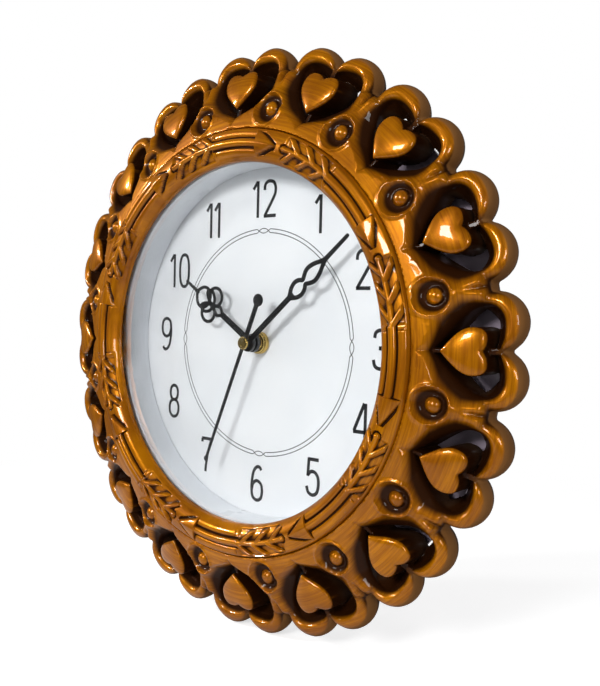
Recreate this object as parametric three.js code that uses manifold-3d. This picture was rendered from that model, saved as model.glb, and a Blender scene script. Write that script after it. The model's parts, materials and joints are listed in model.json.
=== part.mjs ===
// A round wall clock with an openwork rim of hearts, an arrow bezel, a deep white well
// and a quartz movement.
// Millimetres. +Z is up, +X is to the right and the clock faces -Y. The wall is the plane
// y = 0. The origin is where the hanger rests on its nail, so the dial's axis lies below it.

import * as THREE from 'three';
import { mergeVertices } from 'three/addons/utils/BufferGeometryUtils.js';
import Module from 'manifold-3d';

const wasm = await Module();
wasm.setup();

// Clearances
const gap = 0.3;                 // between pieces that touch
const runningGap = 0.15;         // between pieces that turn in each other
const overcut = 1;               // how far a cutter runs past what it cuts
const sink = 0.1;                // how far joined solids run into each other

// Driving dimensions of the rim
const heartCount = 16;
const rimSeatRadius = 108;       // recess that takes the bezel
const rimDepth = 32;             // from the front edge to the rear edge
const openworkDepth = 26;        // the same for the openings' walls and the small hearts
const widestFall = 21;           // how far behind the front edge the rim is widest
const crestFall = 13;            // the same for the top of the border round each heart
const crestInset = 6.8;          // how far that top lies inside the widest place
const shoulderFall = 2.6;        // the front's fall at the roundels
const spandrelFall = 11;         // the same at the foot of the lobes
const rearTaper = 4.8;           // how much narrower the rear edge is
const rimWall = 2.4;             // wall of the hollow moulding
const outerStep = 34;            // from the recess to where the hollow grows shallower

// Driving dimensions of one heart, in its own plane: u across, v out from the recess
const lobeCentre = 29.5;
const lobeOverlap = 1.3;         // how far the two lobes reach past the heart's middle line
const lobeGap = 1.8;             // between a lobe and the line between two hearts
const lobeNotchHalf = 0.7;       // half the width of the notch between the lobes
const lobeNotchDepth = 0.5;
const lobeEnd = 0.05;            // where a lobe ends towards the valley, in radians
const valley = 31.4;             // notch between two hearts
const heartBorder = 6.6;         // rounded border from the opening to the lobe's outside
const openingTip = 6.5;          // heart-shaped opening
const openingNotch = 31.5;
const openingTop = 35;
const openingWidest = 28.2;
const openingGap = 8.7;          // between the opening's edge and the small heart
const innerTip = 10.6;           // small heart inside the opening
const innerNotch = 28.2;
const innerTop = 30.2;
const innerWidest = 24.6;
const innerTipFall = 4.4;        // how far its tip lies behind the rim's front edge
const innerSlope = 0.29;         // how steeply its front falls back outwards
const innerBevel = 1.2;
const bridgeWidth = 2.6;         // webs that hold the small heart
const bridgeReach = 2;
const bridgeFall = 2.6;          // depth of the webs behind what they join

// Shares that shape a heart's curves
const heartShape = {
  tipSpread: 0.38,
  tipRise: 0.28,
  flankDrop: 0.42,
  shoulderRise: 0.6,
  shoulderSpread: 0.85,
  crownAt: 0.55,
  dipSpread: 0.28,
  dipWidth: 0.1,
  dipRise: 0.5,
};

// Driving dimensions of a roundel
const roundelReach = 10;         // from the recess to its centre
const domeRadius = 4;
const domeRise = 2.6;
const domeShoulder = 0.6;        // share of the radius where the dome's side begins
const domeCurve = 0.8;           // share of the rise that is left there
const roundelFall = 4;

// Driving dimensions of the bezel
const arrowCount = 8;
const bezelWidth = 16.2;
const bezelStand = 2.6;          // how far its crest stands in front of the rim
const bezelSeatDepth = 8;
const bezelLipDepth = 1.9;
const bezelRise = 5.6;           // from the front of the lip to the crest
const bezelShape = [             // shares of the width from the lip, and of that rise
  [0, 0],
  [0.1, 0.5],
  [0.28, 0.86],
  [0.5, 1],
  [0.76, 0.93],
  [1, 0.66],
];
const bezelSkin = 4.8;           // over the channel behind
const arrowRise = 1.8;
const arrowInset = 7.7;          // from the recess to the arrows' middle line
const arrowTipAngle = 25.7;      // degrees, anticlockwise from +X
const headLength = 6.5;          // degrees along the ring, as are the barbs
const arrowHeadHalf = 6;
const shaftHalf = 4.4;
const spineHalf = 1.6;           // of the spine that carries the barbs
const barbStart = 24;
const barbPitch = 5.7;
const barbHalf = 6.2;
const barbCount = 3;

// Driving dimensions of the glass, the well and the dial
const seatWidth = 12.7;          // step from the bezel's recess to the bore
const glassLap = 1.5;            // how far the glass laps over the well
const glassThickness = 2;
const wellWall = 3;
const wellDepth = 17.8;          // from the glass to the dial
const dialThickness = 2;
const washerRadius = 11;
const washerThickness = 0.9;

// Driving dimensions of the rear cover and its screws
const coverPlate = 2.5;
const coverWall = 2.5;
const flangeReach = 26.5;         // from the recess's radius out to the flange's edge
const flangeThickness = 1.7;
const spigotWall = 2.5;
const windowClear = 2.4;         // round the movement
const windowFrameDepth = 4.8;
const coverScrewCount = 4;
const coverScrewRadius = 1.4;
const coverScrewLength = 12;
const screwPoint = 2;
const screwHeadRadius = 3.2;
const screwHeadHeight = 1.8;
const screwHeadRound = 0.6;      // share of the head that is straight
const screwHeadClear = 0.4;
const bossRadius = 3.7;
const bossInset = 1.2;           // from the hollow's inner wall to the boss

// Driving dimensions of the hanger
const nailInset = 21;            // nail seat below the top of the cover
const hangerWidth = 48;
const hangerHeight = 34;
const hangerThickness = 1.2;
const hangerDrop = 6;            // plate's middle below the nail seat
const hangerCorner = 3;
const hangerScrewInset = 6;       // from the plate's end to a screw
const hangerScrewRadius = 1.2;
const hangerScrewLength = 6.4;
const hangerScrewPoint = 0.5;
const hangerBossRadius = 3.4;
const hangerBossDepth = 8;
const slotRadius = 2.4;
const keyholeRadius = 5.2;
const keyholeDrop = 13;          // entry hole below the nail seat
const nailPocketDepth = 7;
const nailPocketClear = 1.5;

// Driving dimensions of the movement
const caseWall = 1.2;
const caseFrontWall = 0.8;
const lidThickness = 1.6;
const cornerRadius = 3;
const batteryRadius = 7.1;
const batteryLength = 48.8;
const batteryEdge = 0.5;
const batteryNub = 1.4;
const batteryNubRadius = 2.7;
const batterySink = 0.2;         // how far the cell lies inside the movement's back
const contactThickness = 0.4;
const contactHalf = 5;
const contactRoom = 1.7;         // for a contact between the cell and the wall
const contactBump = 0.8;
const contactBumpRadius = 2.2;
const wallClearance = 0.6;       // between the setting knob and the wall
const knobRadius = 5;
const knobThickness = 1.4;
const knobRidges = 16;
const knobRidgeDepth = 0.35;
const knobSocket = 0.9;
const bushRadius = 4;
const bushChamfer = [0.4, 0.6];
const bushFlange = 1.2;
const bushBore = 2.8;
const bushStand = 4.8;           // how far the bush stands out of the dial
const nutRadius = 5.9;
const nutThickness = 3.7;
const postRadius = 1.6;

// Driving dimensions of the hands, measured from the dial's axis
const hourTubeRadius = 2.5;
const minuteTubeRadius = 1.7;
const secondArborRadius = 0.55;
const handThickness = 0.6;
const tubeProud = 0.4;           // how far a tube stands out of its hand
const handClearance = 0.4;
const hourHubRadius = 4.4;
const hourHubDepth = 1.9;
const hourHubClear = 0.9;
const minuteHubRadius = 4;
const minuteHubDepth = 1.6;
const secondHubRadius = 2.4;
const secondHubDepth = 1.2;
const capRadius = 3.3;
const capHeight = 1.1;
const capSocket = 0.6;
const hourAngle = 304.1;         // degrees clockwise from twelve
const minuteAngle = 50.7;
const secondAngle = 203.6;

const hourHandLength = 59.5;
const hourBarEnd = 25.6;
const hourBarHalf = [1.75, 1.6];
const hourTipStart = 49;
const hourTipHalf = [0.9, 0.8];
const ornamentStroke = 1.55;
const ornamentLobes = [          // each ring of the ornament: across, along, radius
  [4.9, 35.8, 5.8],
  [-4.9, 35.8, 5.8],
  [0, 43.6, 6.2],
  [0, 29.6, 4.4],
];

const minuteHandLength = 83.4;
const minuteBarHalf = [1.5, 1.4];
const minuteLoops = [38.6, 49.2, 65];    // where the two loops begin and end
const minuteLoopHalf = 4.8;
const minutePinchHalf = 2.5;
const minuteTipHalf = [1.3, 0.95];
const loopHoleHalf = 2.7;
const loopHoleInset = [2.2, 1];  // from a loop's start and end to its hole
const loopFullness = 0.8;        // below 1 for loops with blunt ends

const secondHandLength = 70.4;
const secondTailLength = 24.6;
const secondBarHalf = [0.85, 1];
const tailBallRadius = 3.3;
const tipBeadRadius = 1.5;

// Driving dimensions of the gear train
const rotorTeeth = 6;
const intermediateTeeth = 36;
const intermediatePinionTeeth = 6;
const secondTeeth = 30;
const secondPinionTeeth = 6;
const thirdTeeth = 45;
const thirdPinionTeeth = 6;
const centreTeeth = 48;
const cannonTeeth = 10;
const minuteWheelTeeth = 30;
const minutePinionTeeth = 8;
const hourTeeth = 32;
const centreModule = 0.4;
const secondModule = 0.6;
const rotorModule = 0.4;
const rootDepth = 1.25;          // tooth sizes, in modules
const tipRise = 0.6;
const tipHalf = 0.28;
const wheelThickness = 0.8;
const pinionThickness = 1.1;
const arborRadius = 0.5;
const arborClear = 0.46;         // between the centre wheel and the setting arbor
const settingArborRadius = 0.9;
const wheelClear = 0.96;         // between the wheels and the battery bay
const bearingDepth = [0.4, 0.6]; // how far an arbor runs into the case and into the lid
const lidBearing = 0.9;
const hourWheelFall = 1.1;       // hour wheel behind the inside of the case
const wheelGaps = [0.4, 0.5, 0.5, 0.8, 0.5];     // between one wheel and the next behind it

// Driving dimensions of the motor and the circuit
const rotorDirection = 75;       // degrees from the intermediate arbor, anticlockwise from +X
const magnetRadius = 3;
const magnetHalf = 1.1;
const statorWall = 1.6;
const statorAirGap = 0.5;
const statorReach = 5;           // past each end of the coil
const statorMargin = 2;
const coilBottom = -2;
const coilTop = 18;
const coilClear = 0.06;
const coilFlangeRadius = 3.9;
const coilFlange = 0.8;
const coilSleeveRadius = 2.6;
const coilInset = 0.3;
const coreHalf = 1.5;
const coreThickness = 1;
const coreInset = 0.6;
const boardWidth = 14.5;
const boardHeight = 13.5;
const boardThickness = 0.8;
const boardRise = 8.5;           // board behind the inside of the case
const boardClear = 0.8;
const crystalRadius = 1;
const crystalHalf = 3.2;
const chipRadius = 2.6;
const chipTopRadius = 1.9;
const chipRise = [0.7, 1.1];

// Roundness
const ringSides = 48;
const rimSides = 2 * heartCount;
const smallSides = 16;
const tinySides = 10;
const roundelSides = 8;
const holeSides = 8;

const degree = Math.PI / 180;
const fullTurn = 2 * Math.PI;
const rimTurn = Math.PI / rimSides;
const dialAxis = [0, 0];         // x and z of the dial's axis

// Radii that follow from the recess of the rim
const bezelLipRadius = rimSeatRadius - bezelWidth;
const arrowCentreRadius = rimSeatRadius - arrowInset;
const boreRadius = rimSeatRadius - seatWidth;
const glassRadius = boreRadius + glassLap;
const wellInnerRadius = boreRadius - gap - wellWall;
const dialRadius = boreRadius - gap;
const flangeRadius = rimSeatRadius + flangeReach;
const screwCircleRadius = boreRadius + rimWall + bossInset + bossRadius;
const coverRadius = screwCircleRadius - screwHeadRadius - screwHeadClear;
const nailRise = coverRadius - nailInset;
const roundelRadius = rimSeatRadius + roundelReach;
const bushHoleRadius = bushRadius + gap;

// Widths of a heart, from the room that each has in the ring
const halfSector = (rimSeatRadius + lobeCentre) * Math.tan(Math.PI / heartCount);
const lobeRadius = (halfSector - lobeGap + lobeOverlap) / 2;
const lobeOffset = lobeRadius - lobeOverlap;
const openingHalfWidth = lobeOffset + lobeRadius - heartBorder;
const innerHalfWidth = openingHalfWidth - openingGap;
const rimWidestRadius = rimSeatRadius + lobeCentre + lobeRadius;

// Reaches of the wheels, and where the arbors stand, as [x, z] from the dial's axis
const reachOf = (teeth, module) => (teeth / 2 + tipRise) * module;
const spacing = (module, a, b) => module * (a + b) / 2;
const thirdSpacing = spacing(centreModule, centreTeeth, thirdPinionTeeth);
const thirdModule = 2 * thirdSpacing / (thirdTeeth + secondPinionTeeth);
const widestReach = Math.max(
  reachOf(centreTeeth, centreModule),
  reachOf(thirdTeeth, thirdModule),
  reachOf(secondTeeth, secondModule),
);
const motionSpacing = widestReach + arborClear + settingArborRadius;
const motionModule = 2 * motionSpacing / (cannonTeeth + minuteWheelTeeth);
const intermediateSpacing = spacing(secondModule, secondTeeth, intermediatePinionTeeth);
const rotorSpacing = spacing(rotorModule, intermediateTeeth, rotorTeeth);
const minuteAxis = [0, motionSpacing];
const thirdAxis = [-thirdSpacing, 0];
const intermediateAxis = [intermediateSpacing, 0];
const rotorAxis = [
  intermediateAxis[0] + rotorSpacing * Math.cos(rotorDirection * degree),
  intermediateAxis[1] + rotorSpacing * Math.sin(rotorDirection * degree),
];

// The coil stands upright beside the intermediate wheel; wheels and cell size the case
const coilX = intermediateAxis[0] + reachOf(intermediateTeeth, rotorModule)
  + coilClear + coilFlangeRadius;
const bayWallZ = -widestReach - wheelClear;
const batteryZ = bayWallZ - caseWall - gap - batteryRadius;
const caseHalf = Math.max(
  gap + batteryRadius + caseWall - batteryZ,
  (batteryLength + batteryNub) / 2 + contactRoom + caseWall,
  coilX + coilFlangeRadius + 2 * gap + caseWall,
);

// Depths, from the wall forwards
const lidBackY = -wallClearance - knobThickness - gap;
const lidFrontY = lidBackY - lidThickness;
const caseBackY = lidFrontY - gap;
const caseFrontY = lidBackY - batterySink - 2 * batteryRadius - gap - caseFrontWall;
const caseInnerY = caseFrontY + caseFrontWall;
const batteryY = caseInnerY + gap + batteryRadius;
const dialBackY = caseFrontY - washerThickness - gap;
const dialFrontY = dialBackY - dialThickness;
const nutBackY = dialFrontY - gap;
const bushFrontY = dialFrontY - bushStand;
const hourHandY = bushFrontY - hourHubClear - hourHubDepth;
const minuteHandY = hourHandY - handThickness - tubeProud - handClearance - minuteHubDepth;
const secondHandY = minuteHandY - handThickness - tubeProud - handClearance - secondHubDepth;
const glassBackY = dialFrontY - wellDepth;
const glassFrontY = glassBackY - glassThickness;
const wellFrontY = glassBackY + gap;
const wellBackY = dialFrontY - gap;
const lipFrontY = glassFrontY - gap - bezelLipDepth;
const bezelCrestY = lipFrontY - bezelRise;
const rimEdgeY = bezelCrestY + bezelStand;
const seatY = rimEdgeY + bezelSeatDepth;
const rimCrestY = rimEdgeY + crestFall;
const rimWidestY = rimEdgeY + widestFall;
const rimBackY = rimEdgeY + rimDepth;
const openworkBackY = rimEdgeY + openworkDepth;
const innerTipY = rimEdgeY + innerTipFall;
const coverFlangeY = rimBackY + gap;
const coverFlangeBackY = coverFlangeY + flangeThickness;
const boardY = caseInnerY + boardRise;

// Depths of the wheels, each from its front face to its rear face
const behind = (depth, space) => [depth[1] + space, depth[1] + space + wheelThickness];
const hourWheelFrontY = caseInnerY + hourWheelFall;
const hourWheelY = [hourWheelFrontY, hourWheelFrontY + wheelThickness];
const minuteWheelY = behind(hourWheelY, wheelGaps[0]);
const centreWheelY = behind(minuteWheelY, wheelGaps[1]);
const thirdWheelY = behind(centreWheelY, wheelGaps[2]);
const secondWheelY = behind(thirdWheelY, wheelGaps[3]);
const intermediateWheelY = behind(secondWheelY, wheelGaps[4]);
const stator = { front: thirdWheelY[0], back: thirdWheelY[1] };

// Turns a closed geometry into a solid, its faces pointing out
function solid(geometry) {
  const bare = geometry.index ? geometry.toNonIndexed() : geometry.clone();
  bare.deleteAttribute('normal');
  bare.deleteAttribute('uv');
  const merged = mergeVertices(bare, 1e-4);
  const place = merged.attributes.position.array;
  const corner = (i) => new THREE.Vector3(place[3 * i], place[3 * i + 1], place[3 * i + 2]);
  const triangles = [];
  let volume = 0;
  for (let i = 0; i < merged.index.count; i += 3) {
    const [a, b, c] = [0, 1, 2].map((k) => merged.index.getX(i + k));
    if (a === b || b === c || c === a) continue;
    triangles.push(a, b, c);
    volume += corner(a).dot(corner(b).cross(corner(c)));
  }
  if (volume < 0) {
    for (let i = 0; i < triangles.length; i += 3) {
      [triangles[i + 1], triangles[i + 2]] = [triangles[i + 2], triangles[i + 1]];
    }
  }
  return new wasm.Manifold(new wasm.Mesh({
    numProp: 3,
    vertProperties: new Float32Array(place),
    triVerts: new Uint32Array(triangles),
  }));
}

// Turns a solid back into a geometry
function geometryOf(body) {
  const mesh = body.getMesh();
  const geometry = new THREE.BufferGeometry();
  geometry.setAttribute('position', new THREE.BufferAttribute(mesh.vertProperties, 3));
  geometry.setIndex(new THREE.BufferAttribute(mesh.triVerts, 1));
  geometry.computeVertexNormals();
  return geometry;
}

// Joins a list of solids into one
function join(bodies) {
  return bodies.reduce((whole, body) => whole.add(body));
}

// Extrudes an outline, given in x and z, between two depths
function slab(points, frontY, backY, holes = []) {
  const shape = new THREE.Shape(points);
  for (const hole of holes) shape.holes.push(new THREE.Path(hole));
  const geometry = new THREE.ExtrudeGeometry(shape, {
    depth: backY - frontY,
    bevelEnabled: false,
    steps: 1,
  });
  geometry.rotateX(Math.PI / 2);
  geometry.translate(0, backY, 0);
  return solid(geometry);
}

// Revolves a closed profile of [radius, y] pairs about an axis along Y through [x, z]
function turned(profile, sides = smallSides, at = [0, 0], start = 0) {
  const points = profile.map(([radius, y]) => new THREE.Vector2(radius, y));
  if (profile[0][0] > 0) points.push(points[0].clone());
  const geometry = new THREE.LatheGeometry(points, sides, start);
  geometry.translate(at[0], 0, at[1]);
  return solid(geometry);
}

// A disc or rod along Y
function rod(radius, frontY, backY, at = [0, 0], sides = smallSides) {
  return turned([[0, frontY], [radius, frontY], [radius, backY], [0, backY]], sides, at);
}

// A ring or tube along Y
function tube(outer, inner, frontY, backY, at = [0, 0], sides = smallSides) {
  const profile = [[inner, frontY], [outer, frontY], [outer, backY], [inner, backY]];
  return turned(profile, sides, at);
}

// A box between two corners
function block(low, high) {
  const size = high.map((value, axis) => value - low[axis]);
  const geometry = new THREE.BoxGeometry(...size);
  geometry.translate(...high.map((value, axis) => (value + low[axis]) / 2));
  return solid(geometry);
}

// Points of an arc, both ends included
function arc(centre, radius, from, to, steps) {
  const points = [];
  for (let i = 0; i <= steps; i += 1) {
    const angle = from + (to - from) * i / steps;
    points.push(new THREE.Vector2(
      centre[0] + radius * Math.cos(angle),
      centre[1] + radius * Math.sin(angle),
    ));
  }
  return points;
}

// A full circle of points
function circle(centre, radius, sides = smallSides) {
  return arc(centre, radius, 0, fullTurn, sides).slice(0, -1);
}

// A rectangle with rounded corners
function roundedRectangle(halfX, halfZ, radius, centre = [0, 0]) {
  const corners = [[1, 1], [-1, 1], [-1, -1], [1, -1]];
  return corners.flatMap(([sx, sz], i) => arc(
    [centre[0] + sx * (halfX - radius), centre[1] + sz * (halfZ - radius)],
    radius,
    i * Math.PI / 2,
    (i + 1) * Math.PI / 2,
    3,
  ));
}

// Moves points of a heart's own plane, measured from the recess, to their place in the ring
function intoRing(points, angle) {
  const cosine = Math.cos(angle);
  const sine = Math.sin(angle);
  return points.map(({ x, y }) => {
    const radius = y + rimSeatRadius;
    return new THREE.Vector2(radius * cosine + x * sine, radius * sine - x * cosine);
  });
}

// A heart with its tip towards the dial, from its tip, widest and notch places
function heart({ tip, notch, top, halfWidth, widest }, steps) {
  const shape = heartShape;
  const half = new THREE.CurvePath();
  const tipPoint = new THREE.Vector2(0, tip);
  const side = new THREE.Vector2(halfWidth, widest);
  const crown = new THREE.Vector2(halfWidth * shape.crownAt, top);
  const dip = new THREE.Vector2(0, notch);
  half.add(new THREE.CubicBezierCurve(
    tipPoint,
    new THREE.Vector2(halfWidth * shape.tipSpread, tip + (widest - tip) * shape.tipRise),
    new THREE.Vector2(halfWidth, widest - (widest - tip) * shape.flankDrop),
    side,
  ));
  half.add(new THREE.CubicBezierCurve(
    side,
    new THREE.Vector2(halfWidth, widest + (top - widest) * shape.shoulderRise),
    new THREE.Vector2(halfWidth * shape.shoulderSpread, top),
    crown,
  ));
  half.add(new THREE.CubicBezierCurve(
    crown,
    new THREE.Vector2(halfWidth * shape.dipSpread, top),
    new THREE.Vector2(halfWidth * shape.dipWidth, notch + (top - notch) * shape.dipRise),
    dip,
  ));
  const right = half.curves.flatMap((curve, i) => curve.getPoints(steps[i]).slice(0, -1));
  const left = right.slice(1).reverse().map(({ x, y }) => new THREE.Vector2(-x, y));
  return [...right, dip, ...left];
}

// Moves a closed outline outwards by a distance, or inwards where it is negative
function offset(points, distance) {
  const area = THREE.ShapeUtils.area(points);
  const side = area > 0 ? 1 : -1;
  const count = points.length;
  const normal = (from, to) => {
    const along = to.clone().sub(from).normalize();
    return new THREE.Vector2(along.y * side, -along.x * side);
  };
  return points.map((point, i) => {
    const before = normal(points[(i + count - 1) % count], point);
    const after = normal(point, points[(i + 1) % count]);
    const middle = before.clone().add(after).normalize();
    return point.clone().addScaledVector(middle, distance / Math.max(0.5, middle.dot(after)));
  });
}

const openingHeart = {
  tip: openingTip,
  notch: openingNotch,
  top: openingTop,
  halfWidth: openingHalfWidth,
  widest: openingWidest,
};
const innerHeart = {
  tip: innerTip,
  notch: innerNotch,
  top: innerTop,
  halfWidth: innerHalfWidth,
  widest: innerWidest,
};
const heartAngles = Array.from({ length: heartCount }, (_, i) => i * fullTurn / heartCount);
const roundelAngles = heartAngles.map((angle) => angle + Math.PI / heartCount);

// The scalloped outer outline: two lobes to each heart
function rimOutline() {
  const start = Math.acos((lobeNotchHalf - lobeOffset) / lobeRadius);
  const lobe = arc([lobeOffset, lobeCentre], lobeRadius, start, lobeEnd, 5);
  const half = [new THREE.Vector2(0, lobe[0].y - lobeNotchDepth), ...lobe];
  const mirrored = lobe.slice().reverse().map(({ x, y }) => new THREE.Vector2(-x, y));
  const sector = [...mirrored, ...half];
  const between = [new THREE.Vector2(0, valley)];
  const halfway = Math.PI / heartCount;
  return heartAngles.slice().reverse().flatMap((angle) => [
    ...intoRing(sector, angle),
    ...intoRing(between, angle - halfway),
  ]);
}

// The rounded section that all of the rim's front and outer surfaces follow
function rimEnvelope() {
  return turned([
    [0, rimEdgeY],
    [rimSeatRadius, rimEdgeY],
    [roundelRadius, rimEdgeY + shoulderFall],
    [rimSeatRadius + valley, rimEdgeY + spandrelFall],
    [rimWidestRadius - crestInset, rimCrestY],
    [rimWidestRadius, rimWidestY],
    [rimWidestRadius - rearTaper, rimBackY],
    [0, rimBackY],
  ], rimSides, dialAxis, rimTurn);
}

// The bore that takes the well, the dial and the cover, with the bezel's seat in front
function rimBore() {
  return turned([
    [0, rimEdgeY - overcut],
    [rimSeatRadius, rimEdgeY - overcut],
    [rimSeatRadius, seatY],
    [boreRadius, seatY],
    [boreRadius, rimBackY + overcut],
    [0, rimBackY + overcut],
  ], ringSides);
}

// The hollow behind the rim's skin
function rimHollow(outline) {
  const step = rimSeatRadius + outerStep;
  const section = turned([
    [boreRadius + rimWall, seatY + rimWall],
    [rimSeatRadius + rimWall, seatY + rimWall],
    [rimSeatRadius + rimWall, rimEdgeY + shoulderFall / 2 + rimWall],
    [roundelRadius, rimEdgeY + shoulderFall + rimWall],
    [rimSeatRadius + valley, rimEdgeY + spandrelFall + rimWall],
    [step, rimCrestY + rimWall],
    [step, rimWidestY],
    [rimWidestRadius, rimWidestY],
    [rimWidestRadius, rimBackY + overcut],
    [boreRadius + rimWall, rimBackY + overcut],
  ], heartCount, dialAxis, Math.PI / heartCount);
  let space = slab(offset(outline, -rimWall), rimEdgeY, rimBackY + overcut).intersect(section);
  const wallOutline = offset(heart(openingHeart, [1, 3, 1]), rimWall);
  for (const angle of heartAngles) {
    space = space.subtract(slab(intoRing(wallOutline, angle), rimEdgeY, openworkBackY));
  }
  return space;
}

// Everything behind a front that slopes back outwards, flat across each heart
function slopedFront(tipY) {
  const corner = (v) => (rimSeatRadius + v) / Math.cos(Math.PI / heartCount);
  const reach = innerTop - innerTip + 2 * bridgeReach;
  return turned([
    [0, tipY],
    [corner(innerTip), tipY],
    [corner(innerTip + reach), tipY + reach * innerSlope],
    [corner(innerTip + reach), rimBackY],
    [0, rimBackY],
  ], heartCount, dialAxis, Math.PI / heartCount);
}

// A small heart with a bevelled front, on its two webs
function smallHeart(angle, shoulder, crest) {
  const half = bridgeWidth / 2;
  const web = (from, to, frontY) => slab(
    intoRing([[-half, from], [half, from], [half, to], [-half, to]]
      .map(([u, v]) => new THREE.Vector2(u, v)), angle),
    frontY,
    openworkBackY,
  );
  const body = intoRing(heart(innerHeart, [1, 3, 2]), angle);
  const crown = intoRing(offset(heart(innerHeart, [1, 3, 1]), -innerBevel), angle);
  return join([
    slab(body, innerTipY - overcut, openworkBackY).intersect(shoulder),
    slab(crown, innerTipY - 2 * overcut, openworkBackY - overcut).intersect(crest),
    web(innerNotch - bridgeReach, openingNotch + bridgeReach, rimCrestY + bridgeFall),
    web(openingTip - bridgeReach, innerTip + bridgeReach, innerTipY + bridgeFall),
  ]);
}

// The dome of a roundel, on the spandrel between two hearts
function roundel(angle) {
  const footY = rimEdgeY + roundelFall;
  const at = [roundelRadius * Math.cos(angle), roundelRadius * Math.sin(angle)];
  return turned([
    [0, footY - domeRise],
    [domeRadius * domeShoulder, footY - domeRise * domeCurve],
    [domeRadius, footY],
    [0, footY],
  ], roundelSides, at);
}

const coverScrewAngles = Array.from(
  { length: coverScrewCount },
  (_, i) => (i + 0.5) * fullTurn / coverScrewCount,
);

function coverScrewAt(angle) {
  return [screwCircleRadius * Math.cos(angle), screwCircleRadius * Math.sin(angle)];
}

function heartRim() {
  const outline = rimOutline();
  let rim = slab(outline, rimEdgeY - overcut, rimBackY).intersect(rimEnvelope());
  rim = rim.subtract(rimBore()).subtract(rimHollow(outline));
  const opening = heart(openingHeart, [2, 3, 2]);
  const shoulder = slopedFront(innerTipY);
  const crest = slopedFront(innerTipY - innerBevel);
  for (const angle of heartAngles) {
    rim = rim.subtract(slab(intoRing(opening, angle), rimEdgeY - overcut, rimBackY + overcut));
    rim = rim.add(smallHeart(angle, shoulder, crest));
  }
  for (const angle of roundelAngles) {
    rim = rim.add(roundel(angle));
  }
  for (const angle of coverScrewAngles) {
    const at = coverScrewAt(angle);
    rim = rim.add(rod(bossRadius, seatY + sink, rimBackY, at, tinySides));
    const pilotFront = rimBackY - coverScrewLength - gap;
    const pilot = rod(coverScrewRadius + gap, pilotFront, rimBackY + overcut, at, holeSides);
    rim = rim.subtract(pilot);
  }
  return rim;
}

// The bezel's domed section, lifted forwards by a rise
function bezelDome(rise) {
  const outer = rimSeatRadius - gap;
  const glassSeat = glassRadius + gap;
  return turned([
    [bezelLipRadius, lipFrontY + bezelLipDepth],
    ...bezelShape.map(([across, up]) => [
      bezelLipRadius + across * (outer - bezelLipRadius),
      lipFrontY - up * bezelRise - rise,
    ]),
    [outer, seatY - gap],
    [glassSeat, seatY - gap],
    [glassSeat, lipFrontY + bezelLipDepth],
  ], ringSides);
}

// One arrow of the bezel, bent along the ring: a head, a shaft and swept barbs
function arrow(tipAngle) {
  const shaftPoints = Array.from({ length: 3 }, (_, i) => [
    headLength + i * (barbStart - headLength) / 2,
    shaftHalf,
  ]);
  const barbPoints = Array.from({ length: barbCount }, (_, i) => [
    [barbStart + (i + 1) * barbPitch, barbHalf],
    [barbStart + (i + 1) * barbPitch, spineHalf],
  ]).flat();
  const edge = [
    [headLength, arrowHeadHalf],
    ...shaftPoints,
    [barbStart, spineHalf],
    ...barbPoints,
  ];
  const outline = [
    [0, 0],
    ...edge,
    ...edge.slice().reverse().map(([along, across]) => [along, -across]),
  ].map(([along, across]) => {
    const angle = (tipAngle + along) * degree;
    const radius = arrowCentreRadius + across;
    return new THREE.Vector2(radius * Math.cos(angle), radius * Math.sin(angle));
  });
  return slab(outline, bezelCrestY - arrowRise - overcut, lipFrontY);
}

function arrowBezel() {
  const arrows = join(Array.from(
    { length: arrowCount },
    (_, i) => arrow(arrowTipAngle + i * 360 / arrowCount),
  ));
  const channelInner = glassRadius + gap + rimWall;
  const channelOuter = rimSeatRadius - gap - rimWall;
  const channel = turned([
    [channelInner, bezelCrestY + bezelSkin],
    [channelOuter, bezelCrestY + bezelSkin],
    [channelOuter, seatY],
    [channelInner, seatY],
  ], ringSides);
  return bezelDome(0).add(arrows.intersect(bezelDome(arrowRise))).subtract(channel);
}

function frontGlass() {
  return rod(glassRadius, glassFrontY, glassBackY, [0, 0], ringSides);
}

function dialWell() {
  return tube(boreRadius - gap, wellInnerRadius, wellFrontY, wellBackY, [0, 0], ringSides);
}

function dialPlate() {
  return slab(
    circle([0, 0], dialRadius, ringSides),
    dialFrontY,
    dialBackY,
    [circle([0, 0], bushHoleRadius)],
  );
}

const hangerZ = nailRise - hangerDrop;
const hangerScrewXs = [hangerScrewInset - hangerWidth / 2, hangerWidth / 2 - hangerScrewInset];

// The round pan that closes the back
function rearCover() {
  const spigotOuter = boreRadius - gap;
  const spigotInner = spigotOuter - spigotWall;
  let pan = turned([
    [0, -coverPlate],
    [spigotInner, -coverPlate],
    [spigotInner, dialBackY + gap],
    [spigotOuter, dialBackY + gap],
    [spigotOuter, coverFlangeY],
    [flangeRadius, coverFlangeY],
    [flangeRadius, coverFlangeBackY],
    [coverRadius, coverFlangeBackY],
    [coverRadius, 0],
    [0, 0],
  ], ringSides);
  const windowHalf = caseHalf + windowClear;
  const frameHalf = windowHalf + coverWall;
  const frame = roundedRectangle(frameHalf, frameHalf, cornerRadius + coverWall);
  const window = roundedRectangle(windowHalf, windowHalf, cornerRadius);
  const frameFront = -coverPlate - windowFrameDepth;
  pan = pan.add(slab(frame, frameFront, -coverPlate + sink));
  pan = pan.subtract(slab(window, frameFront - overcut, overcut));
  for (const angle of coverScrewAngles) {
    const hole = coverScrewRadius + gap;
    const at = coverScrewAt(angle);
    const cutter = rod(hole, coverFlangeY - overcut, coverFlangeBackY + overcut, at, holeSides);
    pan = pan.subtract(cutter);
  }
  return pan.add(hangerMount()).subtract(hangerRecess());
}

// Room behind the keyhole for the nail's head, as half width, bottom and top
const nailPocket = {
  half: keyholeRadius + nailPocketClear,
  bottom: nailRise - keyholeDrop - keyholeRadius - nailPocketClear,
  top: nailRise + slotRadius + nailPocketClear,
};

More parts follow.
